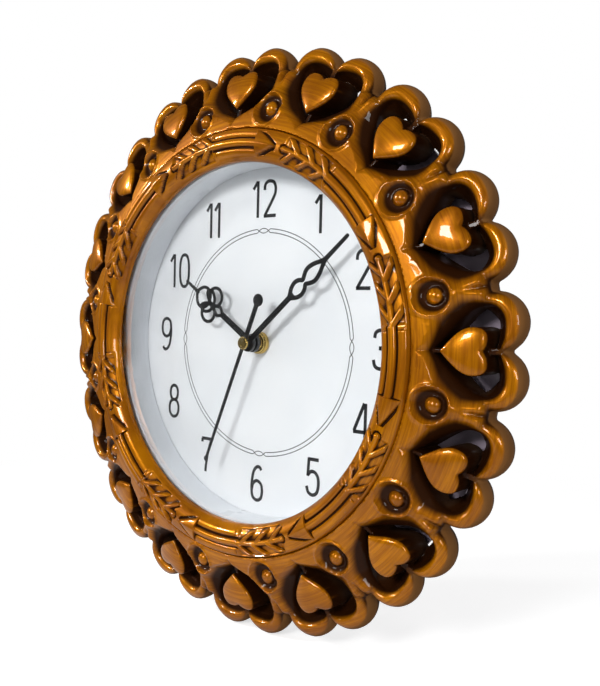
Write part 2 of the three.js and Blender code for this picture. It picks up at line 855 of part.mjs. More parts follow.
// The boxed pocket behind the hanger and the bosses of its screws
function hangerMount() {
  const { half, bottom, top } = nailPocket;
  const inside = -coverPlate + sink;
  const pocketBox = block(
    [-half - coverWall, -nailPocketDepth - coverWall, bottom - coverWall],
    [half + coverWall, inside, top + coverWall],
  );
  const bosses = hangerScrewXs.map((x) => (
    rod(hangerBossRadius, -hangerBossDepth, inside, [x, hangerZ], tinySides)
  ));
  return join([pocketBox, ...bosses]);
}

function hangerRecess() {
  const { half, bottom, top } = nailPocket;
  const recess = block(
    [-hangerWidth / 2 - gap, -hangerThickness - gap, hangerZ - hangerHeight / 2 - gap],
    [hangerWidth / 2 + gap, overcut, hangerZ + hangerHeight / 2 + gap],
  );
  const pocket = block([-half, -nailPocketDepth, bottom], [half, overcut, top]);
  const pilots = hangerScrewXs.map((x) => (
    rod(hangerScrewRadius + gap, -hangerScrewLength - 2 * gap, overcut, [x, hangerZ], holeSides)
  ));
  return join([recess, pocket, ...pilots]);
}

// Keyhole outline: a round entry below and a slot that ends at the nail seat
function keyhole() {
  const entryZ = nailRise - keyholeDrop;
  const slotZ = nailRise - slotRadius;
  const meet = Math.asin(slotRadius / keyholeRadius);
  return [
    ...arc([0, slotZ], slotRadius, 0, Math.PI, 6),
    ...arc([0, entryZ], keyholeRadius, Math.PI / 2 + meet, 5 * Math.PI / 2 - meet, 10),
  ];
}

function hangerPlate() {
  const halfX = hangerWidth / 2;
  const halfZ = hangerHeight / 2;
  let plate = slab(
    roundedRectangle(halfX, halfZ, hangerCorner, [0, hangerZ]),
    -hangerThickness,
    0,
    [keyhole()],
  );
  const hole = hangerScrewRadius + gap;
  for (const x of hangerScrewXs) {
    plate = plate.subtract(turned([
      [0, -hangerThickness - overcut],
      [hole, -hangerThickness - overcut],
      [hole, -hangerThickness],
      [hole + hangerThickness, 0],
      [hole + hangerThickness, overcut],
      [0, overcut],
    ], smallSides, [x, hangerZ]));
  }
  return plate;
}

// A countersunk screw whose head lies just below the plate's rear face
function hangerScrew(x) {
  const radius = hangerScrewRadius;
  return turned([
    [0, -hangerScrewLength],
    [radius, -hangerScrewLength + hangerScrewPoint],
    [radius, -hangerThickness],
    [radius + hangerThickness - sink, -sink],
    [0, -sink],
  ], smallSides, [x, hangerZ]);
}

function coverScrew(angle) {
  const headFront = coverFlangeBackY + gap / 2;
  const tip = headFront - coverScrewLength;
  return turned([
    [0, tip],
    [coverScrewRadius, tip + screwPoint],
    [coverScrewRadius, headFront],
    [screwHeadRadius, headFront],
    [screwHeadRadius, headFront + screwHeadHeight * screwHeadRound],
    [screwHeadRadius * screwHeadRound, headFront + screwHeadHeight],
    [0, headFront + screwHeadHeight],
  ], tinySides, coverScrewAt(angle));
}

// Places of the posts that carry the stator and the circuit board
const statorPosts = [coilBottom - statorReach / 2, coilTop + statorReach / 2]
  .map((z) => [coilX - postRadius / 2, z]);
const board = {
  left: -caseHalf + caseWall + boardClear,
  top: caseHalf - caseWall - boardClear,
};
const boardPosts = [
  [board.left + 2 * postRadius, board.top - 2 * postRadius],
  [board.left + boardWidth - 2 * postRadius, board.top - boardHeight + 2 * postRadius],
];

// Front shell of the movement with its battery bay
function movementCase() {
  const outer = roundedRectangle(caseHalf, caseHalf, cornerRadius);
  const insideHalf = caseHalf - caseWall;
  const inner = roundedRectangle(insideHalf, insideHalf, cornerRadius - caseWall);
  let shell = slab(outer, caseFrontY, caseBackY).subtract(slab(inner, caseInnerY, overcut));
  shell = shell.add(block(
    [-insideHalf - sink, caseInnerY - sink, bayWallZ - caseWall],
    [insideHalf + sink, caseBackY, bayWallZ],
  ));
  for (const at of statorPosts) {
    shell = shell.add(rod(postRadius, caseInnerY - sink, stator.front - runningGap, at, tinySides));
  }
  for (const at of boardPosts) {
    shell = shell.add(rod(postRadius, caseInnerY - sink, boardY - runningGap, at, tinySides));
  }
  const through = (radius, at, sides) => rod(
    radius + runningGap, caseFrontY - overcut, caseInnerY + overcut, at, sides,
  );
  shell = shell.subtract(through(bushRadius + runningGap, dialAxis, smallSides));
  for (const axis of [thirdAxis, intermediateAxis, rotorAxis]) {
    shell = shell.subtract(through(arborRadius, axis, holeSides));
  }
  return shell.subtract(through(settingArborRadius, minuteAxis, holeSides));
}

// The rear half of the movement, open behind the cell
function movementLid() {
  const plate = roundedRectangle(caseHalf, caseHalf, cornerRadius);
  const bayHalf = caseHalf - caseWall - 2 * gap;
  const bayTop = bayWallZ - caseWall - gap;
  const bay = [[-bayHalf, -bayHalf], [bayHalf, -bayHalf], [bayHalf, bayTop], [-bayHalf, bayTop]]
    .map(([x, z]) => new THREE.Vector2(x, z));
  const settingHole = circle(minuteAxis, settingArborRadius + runningGap, tinySides);
  let lid = slab(plate, lidFrontY, lidBackY, [bay, settingHole]);
  for (const axis of [thirdAxis, intermediateAxis, rotorAxis, dialAxis]) {
    const hole = arborRadius + 2 * runningGap;
    lid = lid.subtract(rod(hole, lidFrontY - overcut, lidFrontY + lidBearing, axis, holeSides));
  }
  return lid;
}

function rubberWasher() {
  const front = dialBackY + gap / 2;
  return tube(washerRadius, bushRadius + gap, front, front + washerThickness);
}

function threadedBush() {
  const front = bushFrontY;
  const flangeFront = caseInnerY + runningGap;
  const flangeBack = hourWheelY[0] - runningGap;
  return turned([
    [bushBore, front],
    [bushRadius - bushChamfer[0], front],
    [bushRadius, front + bushChamfer[1]],
    [bushRadius, flangeFront],
    [bushRadius + bushFlange, flangeFront],
    [bushRadius + bushFlange, flangeBack],
    [bushBore, flangeBack],
  ]);
}

function mountingNut() {
  const hole = circle(dialAxis, bushRadius + gap);
  return slab(circle(dialAxis, nutRadius, 6), nutBackY - nutThickness, nutBackY, [hole]);
}

// A toothed outline with one tooth's middle at the phase angle
function gearOutline(teeth, module, phase) {
  const pitch = teeth * module / 2;
  const root = pitch - rootDepth * module;
  const tip = pitch + tipRise * module;
  const tipTurn = tipHalf * module / tip;
  return Array.from({ length: teeth }, (_, i) => {
    const middle = phase + i * fullTurn / teeth;
    return [
      [root, -Math.PI / teeth],
      [tip, -tipTurn],
      [tip, tipTurn],
    ].map(([radius, turn]) => new THREE.Vector2(
      radius * Math.cos(middle + turn),
      radius * Math.sin(middle + turn),
    ));
  }).flat();
}

// A gear between two depths; it has a tooth towards the mate, or a space where it is driven
function gear({ teeth, module, depth, at, mate, space = false }) {
  const towards = Math.atan2(mate[1] - at[1], mate[0] - at[0]);
  const phase = towards + (space ? Math.PI / teeth : 0);
  const outline = gearOutline(teeth, module, phase);
  const placed = outline.map(({ x, y }) => new THREE.Vector2(x + at[0], y + at[1]));
  return slab(placed, depth[0], depth[1]);
}

// The depth of a pinion that meshes with the wheel at a given depth
function beside(depth) {
  const middle = (depth[0] + depth[1]) / 2;
  return [middle - pinionThickness / 2, middle + pinionThickness / 2];
}

const bearingFrontY = caseInnerY - bearingDepth[0];
const bearingBackY = lidFrontY + bearingDepth[1];

// The depth of a pinion that stands between two wheels of its train
function between(front, back) {
  return [front[0] - sink, back[0] + sink];
}

function intermediateWheel() {
  const at = intermediateAxis;
  const wheel = { teeth: intermediateTeeth, module: rotorModule, at, mate: rotorAxis };
  const pinion = {
    teeth: intermediatePinionTeeth, module: secondModule, at, mate: dialAxis, space: true,
  };
  return join([
    gear({ ...wheel, depth: intermediateWheelY }),
    gear({ ...pinion, depth: between(secondWheelY, intermediateWheelY) }),
    rod(arborRadius, bearingFrontY, bearingBackY, at, holeSides),
  ]);
}

function secondWheel() {
  const wheel = { teeth: secondTeeth, module: secondModule, at: dialAxis, mate: intermediateAxis };
  const pinion = {
    teeth: secondPinionTeeth, module: thirdModule, at: dialAxis, mate: thirdAxis, space: true,
  };
  const front = secondHandY - handThickness - tubeProud;
  return join([
    gear({ ...wheel, depth: secondWheelY }),
    gear({ ...pinion, depth: between(thirdWheelY, secondWheelY) }),
    rod(secondArborRadius, front, bearingBackY, dialAxis, tinySides),
  ]);
}

function thirdWheel() {
  const at = thirdAxis;
  const wheel = { teeth: thirdTeeth, module: thirdModule, at, mate: dialAxis };
  const pinion = { teeth: thirdPinionTeeth, module: centreModule, at, mate: dialAxis, space: true };
  return join([
    gear({ ...wheel, depth: thirdWheelY }),
    gear({ ...pinion, depth: between(centreWheelY, thirdWheelY) }),
    rod(arborRadius, bearingFrontY, bearingBackY, at, holeSides),
  ]);
}

function centreWheel() {
  const wheel = { teeth: centreTeeth, module: centreModule, at: dialAxis, mate: thirdAxis };
  const [front, back] = centreWheelY;
  return gear({ ...wheel, depth: centreWheelY })
    .subtract(rod(minuteTubeRadius + runningGap, front - overcut, back + overcut));
}

function cannonPinion() {
  const pinion = {
    teeth: cannonTeeth, module: motionModule, at: dialAxis, mate: minuteAxis, space: true,
  };
  const bore = secondArborRadius + runningGap;
  const front = minuteHandY - handThickness - tubeProud;
  const back = centreWheelY[1] + sink;
  return join([
    gear({ ...pinion, depth: beside(minuteWheelY) }),
    rod(minuteTubeRadius, front, back),
  ]).subtract(rod(bore, front - overcut, back + overcut, dialAxis, tinySides));
}

function minuteWheel() {
  const at = minuteAxis;
  const wheel = { teeth: minuteWheelTeeth, module: motionModule, at, mate: dialAxis };
  const pinion = { teeth: minutePinionTeeth, module: motionModule, at, mate: dialAxis, space: true };
  return join([
    gear({ ...wheel, depth: minuteWheelY }),
    gear({ ...pinion, depth: between(hourWheelY, minuteWheelY) }),
    rod(settingArborRadius, bearingFrontY, lidBackY + gap + knobSocket, at, tinySides),
  ]);
}

function hourWheel() {
  const wheel = { teeth: hourTeeth, module: motionModule, at: dialAxis, mate: minuteAxis };
  const front = hourHandY - handThickness - tubeProud;
  const back = hourWheelY[1];
  return join([
    gear({ ...wheel, depth: hourWheelY }),
    rod(hourTubeRadius, front, back),
  ]).subtract(rod(minuteTubeRadius + runningGap, front - overcut, back + overcut));
}

function rotorPinion() {
  const pinion = {
    teeth: rotorTeeth, module: rotorModule, at: rotorAxis, mate: intermediateAxis, space: true,
  };
  return join([
    gear({ ...pinion, depth: beside(intermediateWheelY) }),
    rod(arborRadius, bearingFrontY, bearingBackY, rotorAxis, holeSides),
  ]);
}

function rotorMagnet() {
  const middle = (stator.front + stator.back) / 2;
  const bore = arborRadius + runningGap;
  return tube(magnetRadius, bore, middle - magnetHalf, middle + magnetHalf, rotorAxis);
}

function settingKnob() {
  const front = lidBackY + gap;
  const outline = Array.from({ length: 2 * knobRidges }, (_, i) => {
    const radius = knobRadius - (i % 2) * knobRidgeDepth;
    const angle = i * Math.PI / knobRidges;
    return new THREE.Vector2(
      minuteAxis[0] + radius * Math.cos(angle),
      minuteAxis[1] + radius * Math.sin(angle),
    );
  });
  const bore = settingArborRadius + runningGap;
  const end = front + knobSocket + runningGap;
  return slab(outline, front, front + knobThickness)
    .subtract(rod(bore, front - overcut, end, minuteAxis, tinySides));
}

// The iron plate round the rotor, in one C from coil end to coil end
function statorPlate() {
  const left = rotorAxis[0] - magnetRadius - statorWall;
  const spineRight = rotorAxis[0] + magnetRadius + statorWall;
  const right = coilX + statorMargin;
  const low = coilBottom - statorReach;
  const high = coilTop + statorReach;
  const armLow = coilBottom - coreInset;
  const armHigh = coilTop + coreInset;
  const outline = [
    [left, low], [right, low], [right, armLow], [spineRight, armLow],
    [spineRight, armHigh], [right, armHigh], [right, high], [left, high],
  ].map(([x, z]) => new THREE.Vector2(x, z));
  return slab(outline, stator.front, stator.back, [
    circle(rotorAxis, magnetRadius + statorAirGap),
    circle(intermediateAxis, arborRadius + statorAirGap, tinySides),
  ]);
}

function coilCore() {
  const front = stator.back + runningGap;
  const low = coilBottom - statorReach + coreInset;
  const high = coilTop + statorReach - coreInset;
  return block([coilX - coreHalf, front, low], [coilX + coreHalf, front + coreThickness, high]);
}

// Turns a solid made along Y so that it stands along Z at the coil's place
function upright(body) {
  const coreMiddle = stator.back + runningGap + coreThickness / 2;
  return body.rotate([-90, 0, 0]).translate([coilX, coreMiddle, 0]);
}

function coilBobbin() {
  const low = -coilTop;
  const high = -coilBottom;
  const spool = turned([
    [0, low],
    [coilFlangeRadius, low],
    [coilFlangeRadius, low + coilFlange],
    [coilSleeveRadius, low + coilFlange],
    [coilSleeveRadius, high - coilFlange],
    [coilFlangeRadius, high - coilFlange],
    [coilFlangeRadius, high],
    [0, high],
  ]);
  const slotHalf = [coreHalf + runningGap, coreThickness / 2 + runningGap];
  const slot = block(
    [-slotHalf[0], low - overcut, -slotHalf[1]],
    [slotHalf[0], high + overcut, slotHalf[1]],
  );
  return upright(spool.subtract(slot));
}

function coilWinding() {
  const end = coilFlange + runningGap;
  const inner = coilSleeveRadius + runningGap;
  return upright(tube(coilFlangeRadius - coilInset, inner, end - coilTop, -coilBottom - end));
}

function circuitBoard() {
  return block(
    [board.left, boardY, board.top - boardHeight],
    [board.left + boardWidth, boardY + boardThickness, board.top],
  );
}

function quartzCrystal() {
  const can = rod(crystalRadius, -crystalHalf, crystalHalf, dialAxis, tinySides);
  return can.rotate([0, 0, 90]).translate([
    board.left + 2 * crystalHalf,
    boardY + boardThickness + crystalRadius + sink,
    board.top - 3 * crystalRadius,
  ]);
}

function controlChip() {
  const floorY = boardY + boardThickness + sink;
  const at = [board.left + boardWidth / 2, board.top - boardHeight * 2 / 3];
  return turned([
    [0, floorY],
    [chipRadius, floorY],
    [chipTopRadius, floorY + chipRise[0]],
    [0, floorY + chipRise[1]],
  ], tinySides, at);
}

// Spring strips at the ends of the battery bay
function contactStrip(side) {
  const wallX = side * (caseHalf - caseWall - gap);
  const innerX = wallX - side * contactThickness;
  const [low, high] = [Math.min(wallX, innerX), Math.max(wallX, innerX)];
  return block(
    [low, batteryY - contactHalf, batteryZ - contactHalf],
    [high, batteryY + contactHalf, batteryZ + contactHalf],
  );
}

function contactPositive() {
  return contactStrip(1);
}

// The negative strip carries a bump that presses on the cell
function contactNegative() {
  const reach = caseHalf - caseWall - gap;
  const bumpFoot = reach - contactThickness / 2;
  const bumpTop = reach - contactThickness - contactBump;
  const bump = rod(contactBumpRadius, bumpTop, bumpFoot, dialAxis, tinySides);
  return contactStrip(-1).add(bump.rotate([0, 0, 90]).translate([0, batteryY, batteryZ]));
}

function battery() {
  const half = batteryLength / 2;
  const edge = batteryRadius - batteryEdge;
  const cell = turned([
    [0, -half],
    [edge, -half],
    [batteryRadius, -half + batteryEdge],
    [batteryRadius, half - batteryEdge],
    [edge, half],
    [batteryNubRadius, half],
    [batteryNubRadius, half + batteryNub],
    [0, half + batteryNub],
  ], smallSides + 4);
  const nubEnd = caseHalf - caseWall - contactThickness - 2 * gap;
  const middle = nubEnd - half - batteryNub;
  return cell.rotate([0, 0, -90]).translate([middle, batteryY, batteryZ]);
}

// Hands are drawn pointing to twelve, with x across the blade
function blade(points, y, holes = []) {
  return slab(points.map(([x, z]) => new THREE.Vector2(x, z)), y - handThickness, y, holes);
}

// Both edges of a blade from its right edge, given as [half width, distance] pairs
function bothEdges(edge) {
  return [...edge, ...edge.slice().reverse().map(([x, z]) => [-x, z])];
}

// One edge of a loop between two distances, on a base that tapers from one half width
// to another
function loopEdge(from, to, halfWidth, base = [0, 0]) {
  const steps = 6;
  return Array.from({ length: steps + 1 }, (_, i) => {
    const share = i / steps;
    const foot = base[0] + (base[1] - base[0]) * share;
    const swell = Math.sin(Math.PI * share) ** loopFullness;
    return [foot + (halfWidth - foot) * swell, from + (to - from) * share];
  });
}

// A lens-shaped hole between two distances
function lens(from, to, halfWidth) {
  const side = loopEdge(from, to, halfWidth);
  const left = side.slice(1, -1).reverse().map(([x, z]) => [-x, z]);
  return [...side, ...left].map(([x, z]) => new THREE.Vector2(x, z));
}

// A hub behind a blade, joined to it, with the bore of its tube
function onHub(parts, y, { radius, depth, tubeRadius }) {
  const front = y - handThickness;
  const bore = rod(tubeRadius + runningGap, front - overcut, y + depth + overcut);
  return join([...parts, rod(radius, front, y + depth)]).subtract(bore);
}

function minuteHand() {
  const [start, pinch, end] = minuteLoops;
  const outline = bothEdges([
    [minuteBarHalf[0], 0],
    ...loopEdge(start, pinch, minuteLoopHalf, [minuteBarHalf[1], minutePinchHalf]),
    ...loopEdge(pinch, end, minuteLoopHalf, [minutePinchHalf, minuteTipHalf[0]]).slice(1),
    [minuteTipHalf[1], minuteHandLength],
  ]);
  const [after, before] = loopHoleInset;
  const holes = [
    lens(start + after, pinch - before, loopHoleHalf),
    lens(pinch + before, end - after, loopHoleHalf),
  ];
  return onHub([blade(outline, minuteHandY, holes)], minuteHandY, {
    radius: minuteHubRadius, depth: minuteHubDepth, tubeRadius: minuteTubeRadius,
  });
}

function hourHand() {
  const bar = blade(bothEdges([[hourBarHalf[0], 0], [hourBarHalf[1], hourBarEnd]]), hourHandY);
  const tip = blade(bothEdges([
    [hourTipHalf[0], hourTipStart],
    [hourTipHalf[1], hourHandLength],
  ]), hourHandY);
  const lobes = ornamentLobes.map(([across, along, radius]) => slab(
    circle([across, along], radius, 12),
    hourHandY - handThickness,
    hourHandY,
    [circle([across, along], radius - ornamentStroke, tinySides)],
  ));
  return onHub([bar, tip, ...lobes], hourHandY, {
    radius: hourHubRadius, depth: hourHubDepth, tubeRadius: hourTubeRadius,
  });
}

function secondHand() {
  const front = secondHandY - handThickness;
  const bar = blade(bothEdges([
    [secondBarHalf[1], -secondTailLength],
    [secondBarHalf[0], secondHandLength],
  ]), secondHandY);
  const ball = slab(circle([0, -secondTailLength], tailBallRadius), front, secondHandY);
  const beadAt = [0, secondHandLength - tipBeadRadius];
  const bead = slab(circle(beadAt, tipBeadRadius, tinySides), front, secondHandY);
  return onHub([bar, ball, bead], secondHandY, {
    radius: secondHubRadius, depth: secondHubDepth, tubeRadius: secondArborRadius,
  });
}

function handCap() {
  const back = secondHandY - handThickness - runningGap;
  return turned([
    [0, back - capHeight],
    [capRadius * 2 / 3, back - capHeight],
    [capRadius, back - capHeight / 2],
    [capRadius, back],
    [secondArborRadius + runningGap, back],
    [secondArborRadius + runningGap, back - capSocket],
    [0, back - capSocket],
  ]);
}

// Finishes
const finish = (color, roughness, metalness = 0) => new THREE.MeshStandardMaterial({
  color, roughness, metalness,
});
const lacquer = () => finish('#a8660c', 0.25);
const whitePlastic = () => finish('#f2f3f5', 0.5);
const blackPlastic = () => finish('#17181a', 0.45);
const greyPlastic = () => finish('#3a3536', 0.6);
const whiteGear = () => finish('#e9e6da', 0.45);
const brass = () => finish('#c39a3f', 0.3, 1);
const steel = () => finish('#b9bcc0', 0.35, 1);
const blackPaint = () => finish('#0d0f0e', 0.5);
const clearGlass = () => new THREE.MeshStandardMaterial({
  color: '#e8f2f4', roughness: 0.03, transparent: true, opacity: 0.2,
});

const clock = new THREE.Group();
clock.position.set(0, 0, -nailRise);

// Adds one named piece to the clock, turned clockwise from twelve where it is a hand
function addPiece(name, body, material, clockwise = 0) {
  const mesh = new THREE.Mesh(geometryOf(body), material);
  mesh.name = name;
  mesh.rotation.y = clockwise * degree;
  clock.add(mesh);
}

addPiece('heart_rim', heartRim(), lacquer());
addPiece('arrow_bezel', arrowBezel(), lacquer());
addPiece('front_glass', frontGlass(), clearGlass());
addPiece('dial_well', dialWell(), whitePlastic());
addPiece('dial_plate', dialPlate(), whitePlastic());
addPiece('rear_cover', rearCover(), greyPlastic());
coverScrewAngles.forEach((angle, i) => {
  addPiece(`cover_screw_${i + 1}`, coverScrew(angle), steel());
});
addPiece('hanger_plate', hangerPlate(), steel());
hangerScrewXs.forEach((x, i) => {
  addPiece(`hanger_screw_${i + 1}`, hangerScrew(x), steel());
});
addPiece('rubber_washer', rubberWasher(), finish('#202022', 0.9));
addPiece('threaded_bush', threadedBush(), brass());
addPiece('mounting_nut', mountingNut(), brass());
addPiece('movement_case', movementCase(), blackPlastic());
addPiece('movement_lid', movementLid(), blackPlastic());
addPiece('stator', statorPlate(), steel());
addPiece('coil_core', coilCore(), steel());
addPiece('coil_bobbin', coilBobbin(), whitePlastic());
addPiece('coil_winding', coilWinding(), finish('#a4552a', 0.4, 0.8));
addPiece('rotor_magnet', rotorMagnet(), finish('#4b4c50', 0.4, 0.8));
addPiece('rotor_pinion', rotorPinion(), whiteGear());
addPiece('intermediate_wheel', intermediateWheel(), whiteGear());
addPiece('second_wheel', secondWheel(), whiteGear());
addPiece('third_wheel', thirdWheel(), whiteGear());
addPiece('centre_wheel', centreWheel(), whiteGear());
addPiece('cannon_pinion', cannonPinion(), brass());
addPiece('minute_wheel', minuteWheel(), whiteGear());
addPiece('hour_wheel', hourWheel(), whiteGear());
addPiece('setting_knob', settingKnob(), whitePlastic());
addPiece('circuit_board', circuitBoard(), finish('#1f5a36', 0.5));
addPiece('quartz_crystal', quartzCrystal(), steel());
addPiece('control_chip', controlChip(), finish('#101010', 0.3));
addPiece('contact_positive', contactPositive(), steel());
addPiece('contact_negative', contactNegative(), steel());
addPiece('battery', battery(), finish('#2d4f7c', 0.35, 0.3));
addPiece('hour_hand', hourHand(), blackPaint(), hourAngle);
addPiece('minute_hand', minuteHand(), blackPaint(), minuteAngle);
addPiece('second_hand', secondHand(), blackPaint(), secondAngle);
addPiece('hand_cap', handCap(), brass(), secondAngle);

export default clock;
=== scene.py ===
# The looks of a wall clock with a rim of hearts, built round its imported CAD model.
# Shapes are made in millimetres: x and z from the dial's axis, y from the wall, where
# the dial faces -y. place() takes them to metres in the row frame.
import json
import math

import bmesh
import bpy
import numpy as np
import openvdb
from mathutils import Matrix, Vector


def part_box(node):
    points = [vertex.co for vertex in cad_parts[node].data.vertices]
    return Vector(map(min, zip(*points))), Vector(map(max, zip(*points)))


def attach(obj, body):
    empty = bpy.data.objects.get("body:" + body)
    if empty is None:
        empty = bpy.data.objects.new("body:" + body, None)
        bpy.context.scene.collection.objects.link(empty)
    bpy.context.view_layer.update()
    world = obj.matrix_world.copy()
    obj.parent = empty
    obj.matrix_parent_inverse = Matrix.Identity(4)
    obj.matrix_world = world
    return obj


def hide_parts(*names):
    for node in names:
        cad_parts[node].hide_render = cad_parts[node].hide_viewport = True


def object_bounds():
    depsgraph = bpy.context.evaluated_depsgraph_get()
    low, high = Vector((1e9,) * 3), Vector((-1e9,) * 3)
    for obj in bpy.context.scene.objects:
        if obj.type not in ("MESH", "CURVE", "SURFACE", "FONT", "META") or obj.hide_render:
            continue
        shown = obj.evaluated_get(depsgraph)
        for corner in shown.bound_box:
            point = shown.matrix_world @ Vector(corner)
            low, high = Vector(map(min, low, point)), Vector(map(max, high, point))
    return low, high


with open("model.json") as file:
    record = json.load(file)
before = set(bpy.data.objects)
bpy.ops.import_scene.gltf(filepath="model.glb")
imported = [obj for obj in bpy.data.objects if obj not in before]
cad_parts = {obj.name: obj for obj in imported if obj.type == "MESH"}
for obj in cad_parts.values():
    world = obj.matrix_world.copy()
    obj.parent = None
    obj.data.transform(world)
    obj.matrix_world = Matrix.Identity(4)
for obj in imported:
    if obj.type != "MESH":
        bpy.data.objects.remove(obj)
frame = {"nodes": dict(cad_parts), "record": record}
cad_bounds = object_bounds()

MM = 0.001
TAU = 2 * math.pi


def edges(node):
    """Lowest and highest corner of a CAD node, in mm."""
    low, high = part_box(node)
    return np.array(low) / MM, np.array(high) / MM


# What the frame settles
AXIS_Z = (edges("dial_plate")[0][2] + edges("dial_plate")[1][2]) / 2
RIM_EDGE = edges("heart_rim")[0][1]
RIM_BACK = edges("heart_rim")[1][1]
RIM_DEPTH = RIM_BACK - RIM_EDGE
BORE = edges("dial_plate")[1][0] + 0.3
DIAL_FRONT = edges("dial_plate")[0][1]
GLASS_FRONT = edges("front_glass")[0][1]


# Meshes
POINTS_AT_ONCE = 600000


def new_object(name, vertices, faces, smooth=True):
    mesh = bpy.data.meshes.new(name)
    mesh.from_pydata(np.asarray(vertices, float).tolist(), [], faces)
    mesh.polygons.foreach_set("use_smooth", [smooth] * len(mesh.polygons))
    mesh.update()
    obj = bpy.data.objects.new(name, mesh)
    bpy.context.scene.collection.objects.link(obj)
    return obj


def coordinates(obj):
    co = np.empty(len(obj.data.vertices) * 3)
    obj.data.vertices.foreach_get("co", co)
    return co.reshape(-1, 3)


def paint_attribute(obj, name, values):
    layer = obj.data.attributes.new(name, "FLOAT", "POINT")
    layer.data.foreach_set("value", np.asarray(values, np.float32))


def apply_modifiers(obj):
    graph = bpy.context.evaluated_depsgraph_get()
    mesh = bpy.data.meshes.new_from_object(obj.evaluated_get(graph))
    obj.modifiers.clear()
    old = obj.data
    obj.data = mesh
    bpy.data.meshes.remove(old)


def gradient(field, points, reach):
    slope = np.empty_like(points)
    for axis in range(3):
        step = np.zeros(3)
        step[axis] = reach
        slope[:, axis] = (field(points + step) - field(points - step)) / (2 * reach)
    return slope


def implicit(name, field, low, high, step, most=None, adaptivity=0.0):
    """The closed surface where field(points) is 0, with the field negative inside."""
    axes = [np.arange(a - 2 * step, b + 2.5 * step, step) for a, b in zip(low, high)]
    shape = tuple(len(a) for a in axes)
    values = np.empty(shape, np.float32)
    rows = max(1, POINTS_AT_ONCE // (shape[1] * shape[2]))
    for i in range(0, shape[0], rows):
        grid = np.meshgrid(axes[0][i:i + rows], axes[1], axes[2], indexing="ij")
        points = np.stack([g.ravel() for g in grid], 1)
        values[i:i + rows] = field(points).reshape(grid[0].shape)
    reach = 3 * step
    volume = openvdb.FloatGrid(reach)
    volume.copyFromArray(np.clip(values, -reach, reach))
    points, triangles, quads = volume.convertToPolygons(0.0, adaptivity)
    vertices = points * step + np.array([a[0] for a in axes])
    faces = triangles.tolist() + quads.tolist()
    obj = new_object(name, vertices, faces)
    count = len(triangles) + 2 * len(quads)
    if most and count > most:
        modifier = obj.modifiers.new("fewer", "DECIMATE")
        modifier.ratio = most / count
        apply_modifiers(obj)
    settle(obj, field, step)
    return obj


def settle(obj, field, step):
    """Moves the vertices onto the surface and takes the normals from the field."""
    co = coordinates(obj)
    for _ in range(2):
        slope = gradient(field, co, 0.25 * step)
        shift = -(field(co) / np.maximum((slope ** 2).sum(1), 0.05))[:, None] * slope
        length = np.maximum(np.linalg.norm(shift, axis=1), 1e-9)
        co += shift * np.minimum(1, 0.5 * step / length)[:, None]
    normal = gradient(field, co, 0.3 * step)
    normal /= np.maximum(np.linalg.norm(normal, axis=1), 1e-9)[:, None]
    obj.data.vertices.foreach_set("co", co.ravel())
    obj.data.update()
    obj.data.normals_split_custom_set_from_vertices(normal.tolist())


def filleted(profile, radius, steps=4):
    """A closed outline with its corners rounded; a corner may carry its own radius."""
    corners = [tuple(c) + (radius,) * (3 - len(c)) for c in profile]
    points = []
    for i, (x, y, r) in enumerate(corners):
        here = np.array([x, y])
        before = np.array(corners[i - 1][:2]) - here
        after = np.array(corners[(i + 1) % len(corners)][:2]) - here
        reach = min(r, 0.45 * np.linalg.norm(before), 0.45 * np.linalg.norm(after))
        if reach <= 0:
            points.append(here)
            continue
        a = here + before / np.linalg.norm(before) * reach
        b = here + after / np.linalg.norm(after) * reach
        for k in range(steps + 1):
            t = k / steps
            points.append((1 - t) ** 2 * a + 2 * t * (1 - t) * here + t * t * b)
    return points


def lathe(name, profile, sides, radius_of=None):
    """A closed outline of (radius, y) pairs turned about the dial's axis."""
    count = len(profile)
    vertices, faces = [], []
    for k in range(sides):
        angle = TAU * k / sides
        for r, y in profile:
            reach = radius_of(r, y, angle) if radius_of else r
            vertices.append((reach * math.cos(angle), y, reach * math.sin(angle)))
    for k in range(sides):
        a, b = k * count, (k + 1) % sides * count
        for i in range(count):
            j = (i + 1) % count
            if max(profile[i][0], profile[j][0]) >= 1e-6:
                faces.append((a + i, a + j, b + j, b + i))
    obj = new_object(name, vertices, faces)
    clean(obj)
    return obj


def clean(obj, sharp=35):
    """Joins doubled points, turns the faces outwards and keeps sharp edges sharp."""
    mesh = obj.data
    work = bmesh.new()
    work.from_mesh(mesh)
    bmesh.ops.remove_doubles(work, verts=work.verts, dist=1e-4)
    bmesh.ops.dissolve_degenerate(work, edges=work.edges, dist=1e-5)
    bmesh.ops.recalc_face_normals(work, faces=work.faces)
    work.to_mesh(mesh)
    work.free()
    mesh.polygons.foreach_set("use_smooth", [True] * len(mesh.polygons))
    mesh.set_sharp_from_angle(angle=math.radians(sharp))
    mesh.update()


def place(obj, body, nodes, slot, finish=None):
    """Takes a mesh made in mm to its place, on a body, for the CAD nodes it stands for, and
    gives it its slot's finish or another."""
    obj.data.transform(Matrix.Translation((0, 0, AXIS_Z * MM)) @ Matrix.Scale(MM, 4))
    obj.data.update()
    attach(obj, body)
    if nodes:
        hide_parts(*nodes)
    obj.data.materials.append(FINISHES[finish or slot])


def smooth_max(a, b, reach):
    share = np.clip(0.5 + 0.5 * (a - b) / reach, 0, 1)
    return b + (a - b) * share + reach * share * (1 - share)


def smooth_min(a, b, reach):
    return -smooth_max(-a, -b, reach)


def ramp(value, start, reach):
    """0 up to a start, 1 from a reach beyond it, and even in between."""
    return np.clip((value - start) / reach, 0, 1)


